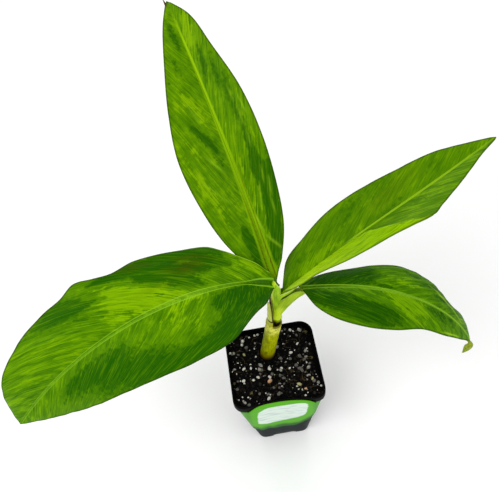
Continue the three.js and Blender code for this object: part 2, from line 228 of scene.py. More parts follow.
class Finish:
    def __init__(self, name, settings):  # settings: what is the same all over the surface
        self.material = bpy.data.materials.new(name)
        self.material.use_nodes = True
        self.tree = self.material.node_tree
        self.shader = self.tree.nodes["Principled BSDF"]
        for key, value in settings.items():
            self.shader.inputs[key].default_value = value

    def node(self, kind, settings=None, inputs=None, output=0):
        made = self.tree.nodes.new(kind)
        for key, value in (settings or {}).items():
            if key == "stops":
                fillRamp(made.color_ramp, value)
            else:
                setattr(made, key, value)
        for key, value in (inputs or {}).items():
            plug(made.inputs[key], value)
        return Wire(made.outputs[output])

    def read(self, name, output="Fac"):  # a value that the mesh carries at its points
        return self.node("ShaderNodeAttribute", {"attribute_name": name}, output=output)

    def split(self, vector):  # its three parts
        parts = self.node("ShaderNodeSeparateXYZ", inputs={0: vector}).socket.node
        return [Wire(part) for part in parts.outputs]

    def grain(self, place, stretch, detail=2.0, roughness=0.5):  # noise; stretch: how fine it is each way
        place = self.node("ShaderNodeVectorMath", {"operation": "MULTIPLY"}, {0: place, 1: stretch})
        return self.node("ShaderNodeTexNoise", inputs={"Vector": place, "Scale": 1.0, "Detail": detail,
                                                       "Roughness": roughness})

    def step(self, value, low, high):  # 0 below low, 1 above high
        return self.node("ShaderNodeMapRange", {"interpolation_type": "SMOOTHSTEP"},
                         {"Value": value, "From Min": low, "From Max": high})

    def ramp(self, value, stops):
        return self.node("ShaderNodeValToRGB", {"stops": stops}, {"Fac": value})

    def mix(self, share, first, second):
        return self.node("ShaderNodeMix", {"data_type": "RGBA"}, {0: share, 6: first, 7: second}, output=2)

    def coat(self, share, shade):  # lays a shade over the colour so far
        self.colour = self.mix(share, self.colour, shade)

    def paint(self, roughness, height, depth):  # depth in millimetres
        bump = self.node("ShaderNodeBump", inputs={"Height": height, "Distance": depth * mm})
        for key, value in (("Base Color", self.colour), ("Roughness", roughness), ("Normal", bump)):
            plug(self.shader.inputs[key], value)
        return self


def fillRamp(ramp, stops):
    while len(ramp.elements) > 1:
        ramp.elements.remove(ramp.elements[-1])
    for i, (position, colour) in enumerate(stops):
        stop = ramp.elements.new(position) if i else ramp.elements[0]
        stop.position, stop.color = position, tint(colour)


def tint(colour):  # a screen colour of three numbers, 0 to 255, as Blender's linear colour
    return (*[(c / 255) ** 2.2 for c in colour], 1.0) if len(colour) == 3 else colour


def blend(first, second, share):
    return tuple(a + (b - a) * share for a, b in zip(first, second))


# Camera, floor and lights

portrait = {  # heading is degrees to the right of +Y, tilt is down and roll is counter-clockwise
    "place": (-7.34, -193.85, 426.98), "heading": 1.12, "tilt": 50.93, "roll": -8.88, "lens": 46.19,
}


def makeCamera():
    heading, tilt, roll = (math.radians(portrait[key]) for key in ("heading", "tilt", "roll"))
    forward = Vector((math.sin(heading) * math.cos(tilt), math.cos(heading) * math.cos(tilt), -math.sin(tilt)))
    level = Vector((math.cos(heading), -math.sin(heading), 0))
    upright = level.cross(forward)
    right = level * math.cos(roll) + upright * math.sin(roll)
    up = upright * math.cos(roll) - level * math.sin(roll)
    data = bpy.data.cameras.new("portraitCamera")
    data.lens = portrait["lens"]
    data.sensor_width = 36
    data.clip_start = 0.01
    camera = bpy.data.objects.new("portraitCamera", data)
    turn = Matrix((right, up, -forward)).transposed().to_4x4()
    camera.matrix_world = Matrix.Translation(Vector(portrait["place"]) * mm) @ turn
    bpy.context.scene.collection.objects.link(camera)
    bpy.context.scene.camera = camera


studio = {
    "sky": 0.6,  # brightness of the even light from all round
    "floorTone": 0.98,
    "floorReach": 3000,
    "aim": (0, 0, 0.1),  # where the lamps point, in metres
    "lamps": {  # place and size in metres, power in watts
        "keyLamp": {"place": (-0.7, -0.5, 1.2), "size": 0.9, "power": 10},
        "fillLamp": {"place": (0.9, -0.6, 0.9), "size": 1.0, "power": 4},
        "backLamp": {"place": (0.1, 1.1, 0.9), "size": 1.0, "power": 4},
    },
}


def makeStudio():
    world = bpy.data.worlds.new("studioSky")
    world.use_nodes = True
    sky = world.node_tree.nodes["Background"]
    sky.inputs["Color"].default_value = (1, 1, 1, 1)
    sky.inputs["Strength"].default_value = studio["sky"]
    bpy.context.scene.world = world
    for name, lamp in studio["lamps"].items():
        data = bpy.data.lights.new(name, "AREA")
        data.size = lamp["size"]
        data.energy = lamp["power"]
        made = bpy.data.objects.new(name, data)
        place = Vector(lamp["place"])
        made.location = place
        made.rotation_mode = "QUATERNION"
        made.rotation_quaternion = (Vector(studio["aim"]) - place).to_track_quat("-Z", "Y")
        bpy.context.scene.collection.objects.link(made)
    tone, reach = studio["floorTone"], studio["floorReach"]
    plain = Finish("paleFloor", {"Roughness": 0.95, "Base Color": (tone, tone, tone, 1)})
    corners = [[-reach, -reach, 0], [reach, -reach, 0], [reach, reach, 0], [-reach, reach, 0]]
    mesh = bpy.data.meshes.new("floor")
    mesh.from_pydata([[c * mm for c in corner] for corner in corners], [], [[0, 1, 2, 3]])
    mesh.materials.append(plain.material)
    floor = bpy.data.objects.new("floor", mesh)
    floor.location.z = -0.1 * mm
    bpy.context.scene.collection.objects.link(floor)


makeCamera()
makeStudio()
print("camera, floor and lights ready")


# Pot: a tapered rounded square with a band under its rim, and an arch in each side of its foot

pot = {
    "height": 68,
    "rimWidth": 57,
    "footWidth": 35,
    "bandHeight": 5,
    "bandStep": 1.3,
    "wall": 1.2,
    "lip": 1.1,
    "floor": 3.5,
    "cornerShare": 0.15,
    "archWidth": 16,
    "archHeight": 2.6,
    "archDepth": 4,
    "rounding": 0.45,
    "cornerSteps": 12,
    "sideSteps": 28,
    "dent": 3.8,  # how far the front rim is pressed in
    "dentMiddle": -3,
    "rimColour": (2, 2, 3),
    # the wall's lighter slate grey is a painted reflection of the pale floor in the black plastic
    "wallReflectionColour": (28, 36, 38),
}
bandFoot = pot["height"] - pot["bandHeight"]


def wallHalf(z):  # half width of the outer wall below the band
    return pot["footWidth"] / 2 + (pot["rimWidth"] / 2 - pot["bandStep"] - pot["footWidth"] / 2) * z / bandFoot


def pressedIn(x, y, z, half):  # the thin front wall gives way under the label, most of all at the rim
    sideways = np.cos(np.clip((x - pot["dentMiddle"]) / (1.02 * half), -1, 1) * np.pi / 2) ** 0.8
    return y + pot["dent"] * (z / pot["height"]) ** 1.6 * ease(-y / half, 0, 1) * sideways


def squareRing(half, z, inset=0):  # rounded square, counter-clockwise seen from above
    full = half
    radius = 2 * half * pot["cornerShare"] - inset
    half = half - inset
    corners = []
    for corner in range(4):
        turn = (corner + np.arange(pot["cornerSteps"] + 1) / pot["cornerSteps"]) * np.pi / 2
        cx = (half - radius) * (1 if corner in (0, 3) else -1)
        cy = (half - radius) * (1 if corner < 2 else -1)
        corners.append(np.stack([cx + radius * np.cos(turn), cy + radius * np.sin(turn)], -1))
    points = []
    for corner in range(4):
        here, onward = corners[corner], corners[(corner + 1) % 4]
        share = (np.arange(1, pot["sideSteps"]) / pot["sideSteps"])[:, None]
        points += [here, here[-1] * (1 - share) + onward[0] * share]
    flat = np.concatenate(points)
    flat[:, 1] = pressedIn(flat[:, 0], flat[:, 1], z, full)
    return np.column_stack([flat, np.full(len(flat), float(z))])


def archLift(ring):  # how far the foot's edge is raised along each side
    along = np.where(np.abs(ring[:, 0]) > np.abs(ring[:, 1]), ring[:, 1], ring[:, 0])
    return pot["archHeight"] * np.sqrt(np.clip(1 - (along / (pot["archWidth"] / 2)) ** 2, 0, 1))


def plasticFinish():
    finish = Finish("satinPlastic", {"Specular IOR Level": 0.06})
    place = finish.node("ShaderNodeTexCoord", output="Object")
    cloud = finish.grain(place, (90, 90, 60), 3)
    fine = finish.grain(place, (1400, 1400, 1400), 2)
    scuff = finish.step(finish.grain(place, (260, 260, 900), 3, 0.7), 0.58, 0.75)
    height = finish.split(place)[2]
    # painted reflection: below the band under the rim the wall is painted lighter, with cloudy variation, plus scuffs
    # that are wear; the rim and band above stay black
    reflectionAndScuffs = (1 - finish.step(height, 0.058, 0.0655)) * (0.7 + cloud * 0.4) + scuff * 0.12
    finish.colour = finish.mix(reflectionAndScuffs, pot["rimColour"], pot["wallReflectionColour"])
    return finish.paint(0.42 + cloud * 0.14 + fine * 0.06, fine, 0.02)


def makePot():
    rim, r = pot["rimWidth"] / 2, pot["rounding"]
    deep = squareRing(wallHalf(0), 0, pot["archDepth"])
    notch, foot = deep.copy(), squareRing(wallHalf(0), 0, 0.3)
    notch[:, 2] += archLift(deep)
    foot[:, 2] += archLift(foot)
    rings = [deep, notch, foot]
    for z in np.concatenate([[0.4], np.linspace(3.2, bandFoot, 12)]):
        ring = squareRing(wallHalf(z), z)
        ring[:, 2] = np.maximum(ring[:, 2], archLift(ring) + 0.4 * (z < 1))
        rings.append(ring)
    for turn in np.linspace(0, np.pi / 2, 5):  # under edge of the band
        rings.append(squareRing(rim - r + r * math.sin(turn), bandFoot + r - r * math.cos(turn)))
    lip = pot["lip"] / 2
    for turn in np.linspace(0, np.pi, 9):
        rings.append(squareRing(rim - lip + lip * math.cos(turn), pot["height"] - lip + lip * math.sin(turn)))
    inner = rim - 2 * lip
    for z, half in ((65, inner - 0.1), (63.4, inner - 0.2), (bandFoot - 1, wallHalf(bandFoot) - 1),
                    (60, wallHalf(60) - pot["wall"])):
        rings.append(squareRing(half, z))
    rings.append(squareRing(wallHalf(pot["floor"]), pot["floor"], pot["wall"]))
    points, faces = loft(rings)
    return addPiece("pot_moulding", points, faces, plasticFinish(), "pot", "pot")


makePot()


# Label: coated paper round the front wall, bare of any print but a white field

label = {
    "top": ((-1, 59), (-0.85, 60.5), (-0.72, 63.2), (-0.5, 66.8), (-0.1, 67.4), (0.4, 67), (0.55, 66.4), (0.68, 64.8),
            (0.82, 61), (1, 59.5)),  # place across the wall, height
    "bottom": ((-1, 20), (-0.78, 23.5), (-0.68, 20.6), (-0.45, 22), (-0.27, 20.8), (0, 21.2), (0.2, 20.2),
               (0.43, 20.6), (0.6, 24.4), (0.75, 28.6), (0.85, 31), (1, 33)),
    "thickness": 0.42,
    "gap": 0.15,
    "ripple": 0.12,
    "wrapDegrees": 62,
    "columns": 120,
    "rows": 44,
    "green": (86, 170, 20),
    "deepGreen": (34, 98, 18),
    "white": (218, 234, 222),
    "smear": (168, 182, 184),
    "field": {"left": -16.2, "right": 16.6, "low": 33.2, "high": 61.6, "tilt": 0.13},
}


def frontWall(across, z, offset):  # point of the front wall; across runs -1 to 1, part way round the corners
    half = wallHalf(np.minimum(z, bandFoot))
    offset = offset + pot["bandStep"] * ease(z, bandFoot - 0.9, bandFoot + 0.1)  # over the band under the rim
    radius = 2 * half * pot["cornerShare"]
    flat = half - radius
    run = np.abs(across) * (flat + radius * math.radians(label["wrapDegrees"]))
    turn = np.maximum(run - flat, 0) / radius
    x = np.sign(across) * (np.minimum(run, flat) + (radius + offset) * np.sin(turn))
    y = -flat - (radius + offset) * np.cos(turn)
    return np.stack([x, pressedIn(x, y, z, half), z], -1)


def labelFinish():
    finish = Finish("coatedPaper", {"Specular IOR Level": 0.12})
    spot = finish.read("spot", "Vector")  # across, height and distance from the lower edge, in millimetres
    across, height, rise = finish.split(spot)
    field = label["field"]
    wander = (finish.grain(spot, (0.15, 0.15, 0), 2, 0.5) - 0.5) * 0.7
    aside = (across - (field["left"] + field["right"]) / 2) * (2 / (field["right"] - field["left"]))
    middle, tall = (field["low"] + field["high"]) / 2, field["high"] - field["low"]
    above = (height - across * field["tilt"] - middle) * (2 / tall)
    skew = aside - above * 0.07
    roundness = skew * skew * skew * skew + above * above * above * above
    inside = 1 - finish.step(roundness + wander, 0.78, 1.0)
    cloud = finish.grain(spot, (0.12, 0.12, 0.12), 3)
    # painted shade: the green darkens where the label turns round the pot's corners; it is also darker towards the
    # label's lower edge
    corner = finish.step(across, 18.5, 21.5) + 1 - finish.step(across, -21, -18)
    fresh = finish.step(rise + cloud * 6, 5, 11.5) * (1 - corner * 0.4)
    finish.colour = finish.mix(fresh, label["deepGreen"], label["green"])
    smear = finish.step(finish.grain(spot, (0.1, 0.45, 0), 3), 0.48, 0.66)
    finish.coat(inside, finish.mix(smear * 0.5, label["white"], label["smear"]))
    return finish.paint(0.42 + cloud * 0.15, cloud, 0.2)


def makeLabel():
    u = np.linspace(-1, 1, label["columns"])
    edge, head = (smooth(*zip(*label[key]), u) for key in ("bottom", "top"))
    share = np.linspace(0, 1, label["rows"])[:, None]
    z = edge * (1 - share) + head * share
    across = np.broadcast_to(u, z.shape)
    ripple = label["ripple"] * waves(u * 24 + 0.3 * z, 8, (7.0, 11.0, 17.0), (1, 1, 1)) * (1 - share) ** 2
    inner = frontWall(across, z, label["gap"])
    outer = frontWall(across, z, label["gap"] + label["thickness"] + ripple)
    spot = np.stack([outer[..., 0], z, z - edge], -1)
    addSheet("label_wrap", outer, inner, labelFinish(), "label", "label", {"spot": spot}, crisp=50)


makeLabel()
print("pot and label done")


# Soil: dark potting mix with crumbs, fibres, white perlite and bark

soil = {
    "half": pot["rimWidth"] / 2 - pot["lip"] - 0.15,
    "top": 65,
    "relief": 0.9,
    "mound": 1.4,  # rise round the stem's foot
    "wallSink": 1.2,  # how much lower the mix lies along the walls
    "cornerRadius": 6,
    "stemRoom": 5.2,  # no grain lies nearer to the middle of the stem's foot
    "rings": 74,
    "grains": {
        "crumbs": {
            "count": 1500, "sizes": (0.3, 1.1), "flatness": 0.75, "detail": 1, "sink": 0.35, "stretch": 1.3,
            "finishes": (("peatBlack", (7, 6, 5), 0.95), ("peatBrown", (30, 22, 16), 0.9),
                         ("peatGrey", (44, 42, 38), 0.9)),  # name, colour, roughness
            "weights": (7, 3, 1),
        },
        "perlite": {
            "count": 250, "sizes": (0.28, 1.15), "flatness": 0.85, "detail": 2, "sink": 0.3, "stretch": 1.5,
            "finishes": (("perliteWhite", (226, 222, 212), 0.85), ("perliteGrey", (156, 153, 144), 0.9),
                         ("perliteDim", (104, 101, 94), 0.9)),
            "weights": (5, 4, 4),
        },
        "bark": {
            "count": 16, "sizes": (0.6, 1.3), "flatness": 0.5, "detail": 2, "sink": 0.3, "stretch": 2.2,
            "finishes": (("barkOlive", (84, 78, 44), 0.85), ("barkBrown", (58, 46, 32), 0.85)),
            "weights": (2, 3),
        },
    },
    "fibres": 46,
    "fibreRadius": 0.14,
    "chips": [(-4.2, -9.5, 1.5, "tan"), (13.4, -14.9, 1.4, "olive"), (22.1, -12.5, 1.1, "olive"),
              (16.8, -18.3, 0.9, "tan"), (-17.5, 12, 1.0, "olive")],  # place, size, colour
    "chipColours": {"tan": (206, 160, 122), "olive": (172, 164, 118)},
    "seed": 21,
}
stemFoot = np.array([-2.3, 9.8, 65.3])


def soilHeight(x, y):
    x, y = np.asarray(x, float), np.asarray(y, float)
    flat = np.stack([x, y, np.zeros_like(x)], -1)
    rough = soil["relief"] * (0.7 * lumpy(flat, 0.13, 1) + 0.5 * lumpy(flat, 0.4, 2) + 0.28 * lumpy(flat, 1.1, 3))
    rough = rough.reshape(x.shape)
    gap = np.hypot(x - stemFoot[0], y - stemFoot[1])
    side = np.maximum(np.abs(x), np.abs(y)) / wallHalf(bandFoot)
    mound, sunk = soil["mound"] * np.exp(-(gap / 6.5) ** 2), soil["wallSink"] * ease(side, 0.8, 0.97)
    return soil["top"] + rough + mound - sunk


def soilFinish():
    finish = Finish("dampPeat", {"Specular IOR Level": 0.1})
    place = finish.node("ShaderNodeTexCoord", output="Object")
    coarse = finish.grain(place, (420, 420, 420), 4, 0.65)
    fine = finish.grain(place, (1700, 1700, 1700), 3, 0.6)
    finish.colour = finish.ramp(coarse * 0.65 + fine * 0.35, [
        (0.35, (2, 2, 2)), (0.55, (9, 8, 7)), (0.68, (28, 23, 18)), (0.8, (66, 52, 38))])
    return finish.paint(0.95, coarse + fine * 0.5, 0.5)


def plainFinish(name, colour, roughness, rough=0.12, scale=1200):
    finish = Finish(name, {"Specular IOR Level": 0.15})
    place = finish.node("ShaderNodeTexCoord", output="Object")
    fine = finish.grain(place, (scale, scale, scale), 3, 0.6)
    dark = blend((0, 0, 0, 1), tint(colour), 0.55)
    finish.colour = finish.mix(finish.step(fine, 0.35, 0.62), dark, colour)
    return finish.paint(roughness, fine, rough)


def lumpMesh(detail):  # points and faces of a round lump of unit radius
    build = bmesh.new()
    bmesh.ops.create_icosphere(build, subdivisions=detail, radius=1)
    points = np.array([v.co for v in build.verts])
    faces = [[v.index for v in f.verts] for f in build.faces]
    build.free()
    return points, faces


def inPot(rng, margin):  # a place on the mix, clear of the walls and the stem
    half, radius = soil["half"] - margin, soil["cornerRadius"]
    while True:
        x, y = rng.uniform(-half, half), rng.uniform(-half, half)
        corner = max(0, abs(x) - half + radius), max(0, abs(y) - half + radius)
        if math.hypot(*corner) < radius and math.hypot(x - stemFoot[0], y - stemFoot[1]) > soil["stemRoom"]:
            return x, float(pressedIn(x, y, soil["top"], half))


def addMany(name, meshes, finishes, kinds):  # many small meshes as one piece; kinds: which finish each one has
    points, faces, indexes = [], [], []
    start = 0
    for (mesh, meshFaces), kind in zip(meshes, kinds):
        points.append(mesh)
        faces += [[v + start for v in f] for f in meshFaces]
        indexes += [kind] * len(meshFaces)
        start += len(mesh)
    made = addPiece(name, np.concatenate(points), faces, finishes, slot="soil")
    made.data.polygons.foreach_set("material_index", indexes)


def scatter(kind, grains, rng):  # grains strewn over the soil, most of them small
    base, faces = lumpMesh(grains["detail"])
    small, large = grains["sizes"]
    flatness = grains["flatness"]
    meshes, kinds = [], []
    for _ in range(grains["count"]):
        size = small + (large - small) * rng.random() ** 2.2
        x, y = inPot(rng, size * 0.8)
        lump = base * (1 + 0.28 * lumpy(base, 1.3, rng.uniform(0, 99)))[:, None]
        lump = lump * np.array([rng.uniform(1, grains["stretch"]), 1, flatness * rng.uniform(0.8, 1.2)]) * size
        turn = Matrix.Rotation(rng.uniform(0, 6.28), 3, "Z") @ Matrix.Rotation(rng.uniform(-0.5, 0.5), 3, "X")
        lump = lump @ np.array(turn).T
        z = float(soilHeight(x, y)) + size * flatness * (1 - 2 * grains["sink"])
        meshes.append((lump + np.array([x, y, z]), faces))
        kinds.append(rng.choices(range(len(grains["finishes"])), grains["weights"])[0])
    addMany("soil_" + kind, meshes, [plainFinish(*spec) for spec in grains["finishes"]], kinds)


def makeSoil():
    outline = squareRing(soil["half"], soil["top"])[:, :2]
    shares = np.linspace(0.02, 1, soil["rings"])
    rings = [np.column_stack([outline * s, soilHeight(*(outline * s).T)]) for s in shares]
    for z in (62, 60, 40, 20, pot["floor"] + 0.3):
        rings.append(squareRing(wallHalf(z), z, pot["wall"] + 0.3))
    points, faces = loft(rings)
    addPiece("soil_bed", points, faces, soilFinish(), "soil", "soil")
    seed = soil["seed"]
    for kind, grains in soil["grains"].items():
        scatter(kind, grains, random.Random(seed))
        seed += 1
    makeChips()
    makeFibres(random.Random(seed))


def makeChips():  # a few larger pieces at their own places
    colours = soil["chipColours"]
    base, faces = lumpMesh(2)
    meshes = []
    for i, (x, y, size, _) in enumerate(soil["chips"]):
        lump = base * (1 + 0.25 * lumpy(base, 1.2, 40 + i))[:, None] * np.array([1.2, 0.8, 0.6]) * size
        turn = Matrix.Rotation(1.9 * i + 0.7, 3, "Z") @ Matrix.Rotation(0.3, 3, "X")
        meshes.append((lump @ np.array(turn).T + np.array([x, y, float(soilHeight(x, y)) + 0.3 * size]), faces))
    finishes = [plainFinish(name + "Chip", colour, 0.8) for name, colour in colours.items()]
    addMany("soil_chips", meshes, finishes, [list(colours).index(chip[3]) for chip in soil["chips"]])


def makeFibres(rng):  # short strands of coir that lie on the mix
    meshes = []
    for _ in range(soil["fibres"]):
        x, y = inPot(rng, 3.5)
        heading, length, bow = rng.uniform(0, 6.28), rng.uniform(2, 6), rng.uniform(-1.2, 1.2)
        t = np.linspace(-0.5, 0.5, 9)
        along, aside = t * length, bow * (0.25 - t**2) * 4
        px = x + along * math.cos(heading) - aside * math.sin(heading)
        py = y + along * math.sin(heading) + aside * math.cos(heading)
        path = np.stack([px, py, soilHeight(px, py) + 0.25 + 0.5 * np.cos(t * 3)], -1)
        line, way, _, radius = smoothPath(path, 14, soil["fibreRadius"] - 0.2 * t**2)
        meshes.append(loft(ringsAlong(line, way, radius, 6, (0, 0, 1))))
    addMany("soil_fibres", meshes, [plainFinish("coirFibre", (78, 66, 40), 0.9)], [0] * len(meshes))


makeSoil()


# Stem: the lower part's cut top is a cup that the upper part grows out of

stem = {
    "foot": stemFoot,
    "cup": (4.5, 9, 103.3),
    "heights": (0, 0.25, 0.6, 1),
    "radii": (4.9, 4.65, 4.6, 4.8),
    "shift": (-0.45, 0, 0),
    "sunk": 2.2,  # how far the foot goes into the soil
    "rows": 130,
    "sides": 96,
    "boreFloor": 3.1,
    "boreMouth": 3.85,
    "cupDepth": 4,
    "scars": [(9, 5.75, 0.8, 0.16, 0.9), (22, 5.5, 5, 0.12, 0.3), (27, 0.9, 0.6, 0.3, 0.5)],  # height, angle, size
}
upperStem = {
    "path": [(4.6, 9.7, 99.8), (6, 9.9, 104.6), (6.4, 9.6, 113), (6.7, 9.1, 123.1), (7, 8.6, 130.8),
             (7.3, 8.1, 137.3), (7.5, 7.6, 142)],
    "radius": (2.2, 2.7, 2.3, 2.1, 2, 1.9, 1.6),
    "sides": 40,
}


def lowerStemFinish():
    finish = Finish("oldStemSkin", {"Specular IOR Level": 0.3, "Specular Tint": (0.7, 0.75, 0.1, 1)})
    spot = finish.read("spot", "Vector")  # round, height and depth inside the cup, in millimetres
    height, inside, facing = (finish.read(key) for key in ("height", "inside", "facing"))
    lines = finish.grain(spot, (2.2, 0.16, 1), 3, 0.55)
    blotch = finish.grain(spot, (0.32, 0.2, 1), 3, 0.6)
    wrinkles = finish.grain(spot, (0.4, 1.6, 1), 3, 0.6)
    # painted light: facing makes one side of the stem and of its pale top ring lighter and the other side darker
    tone = (blotch - 0.5) * 0.7 + (lines - 0.5) * 0.6 + facing * 0.24 + 0.37
    finish.colour = finish.ramp(tone, [(0.1, (84, 88, 0)), (0.45, (140, 150, 0)), (0.8, (206, 212, 14))])
    pale = finish.step(height, 27, 34) * finish.step(wrinkles + (blotch - 0.5) * 0.8, 0.3, 0.56)
    finish.coat(pale * (0.5 + facing * 0.32), (255, 252, 110))
    finish.coat((1 - finish.step(height + wrinkles * 3, 3.5, 12.5)) * 0.85, (114, 84, 4))  # browned foot
    # painted shade where the foot meets the soil: the last few millimetres go nearly black
    finish.coat((1 - finish.step(height + wrinkles * 2, 1.8, 6)) * 0.92, (30, 22, 4))
    specks = finish.step(finish.grain(spot, (0.7, 0.5, 1), 2), 0.68, 0.74)
    finish.coat(specks * 0.5 + finish.read("scar"), (84, 62, 6))
    # painted shadow: a dark line under the lip of the torn rim, where the old sheath leaves it free
    finish.coat(finish.step(height + wrinkles * 1.2, 38.2, 38.7) * finish.read("bare") * 0.7, (60, 40, 6))
    finish.coat(finish.step(inside, 0.3, 1.6), (146, 132, 8))
    return finish.paint(0.4 + blotch * 0.2, lines * 0.5 + wrinkles * 0.6, 0.25)


def makeLowerStem():
    foot, cup = (np.array(stem[key]) + stem["shift"] for key in ("foot", "cup"))
    foot = foot - (0.4, 0, stem["sunk"])
    t = np.linspace(0, 1, stem["rows"])
    points = foot + (cup - foot) * t[:, None]
    axis = unit(cup - foot)
    along = unit(np.array([0, 0, 1.0]) * (1 - t[:, None]) + axis * t[:, None])
    angles = circle(stem["sides"])
    height = t * np.linalg.norm(cup - foot) - stem["sunk"]
    radius = smooth(stem["heights"], stem["radii"], t) + 0.1 * waves(height, 4, (5.1, 8.3, 3.1), (1, 1, 0.6))
    radius = radius[:, None] + 0.07 * waves(angles * 4.6, 3, (2.6, 1.7, 4.1), (1, 0.7, 1))
    skin = ringsAlong(points, along, radius, stem["sides"], (0, -1, 0))
    # the mouth: a rounded torn rim, then the bore down to its floor; a row for each ring
    mouth, thick = stem["boreMouth"], stem["radii"][-1] - stem["boreMouth"]
    turn, depth = np.linspace(0.3, np.pi, 6), np.linspace(0.4, stem["cupDepth"], 8)
    reach = np.concatenate([mouth + thick * (1 + np.cos(turn)) / 2,
                            mouth + (stem["boreFloor"] - mouth) * depth / stem["cupDepth"]])
    centres = cup - np.concatenate([-0.35 * np.sin(turn), depth])[:, None] * axis
    bore = ringsAlong(centres, np.tile(axis, (len(reach), 1)), reach, stem["sides"], (0, -1, 0))
    torn = np.concatenate([ease(t, 0.9, 1), 0 * turn + 1, np.maximum(0, 1 - depth)])[:, None]
    lift = 0.45 * waves(angles * 4.6, 9, (28.9, 9.6, 5.8), (1, 1, 0.5))
    rings = np.concatenate([skin, bore]) + (torn * lift)[..., None] * axis
    deep = np.concatenate([0 * t, 0.15 * (turn > 2), depth])[:, None]
    high = np.concatenate([height, height[-1] - deep[len(t):, 0]])[:, None]
    front = fromFront(angles)
    scar = sum(power * np.exp(-(((high - z) / tall) ** 2) - ((angles - a) / wide) ** 2)
               for z, a, tall, wide, power in stem["scars"])
    addTube("stem_lower_skin", rings, lowerStemFinish(), "stem_lower", "stem", {
        "spot": np.stack(np.broadcast_arrays(np.abs(front) * 4.7, high, 5 * np.sign(np.sin(angles))), -1),
        "height": high, "inside": deep, "scar": scar,
        # painted light: how much each side of the stem faces the lamps
        "facing": np.cos(angles - 0.25),
        "bare": ease(front, -0.5, -0.2),  # where the old sheath leaves the rim free
    })


makeLowerStem()
print("soil and lower stem done")


# Leaves. A midrib leaves base in the direction heading, climbs at rise degrees and has bent down
# by -droop degrees at its tip, while sweep turns it sideways and roll lifts its left half (degrees
# at base and tip). Each half blade has its own half widths at the stations, is folded up along the
# midrib by fold degrees (at base and tip), lags behind by lag millimetres at the margin near the
# base, and bends down again by bend degrees from midrib to margin. veins: how
# far a side vein runs on per millimetre away from the midrib (left half, both halves' curve,
# right half). root: millimetres of blade before the base, inside the stem.
# Patches and brown marks are soft spots: place along the midrib (share of its length) and across
# it (millimetres, left above 0), half width, half length, strength (below 0 for a dark patch).
# ripple, pleats and groove are heights of relief: at the margin, along the veins and over the
# midrib. ribFill and ribSides: how strongly the midrib's middle and its two sides are coloured.
# lines: how much of the pattern follows the side veins (left half, right half).

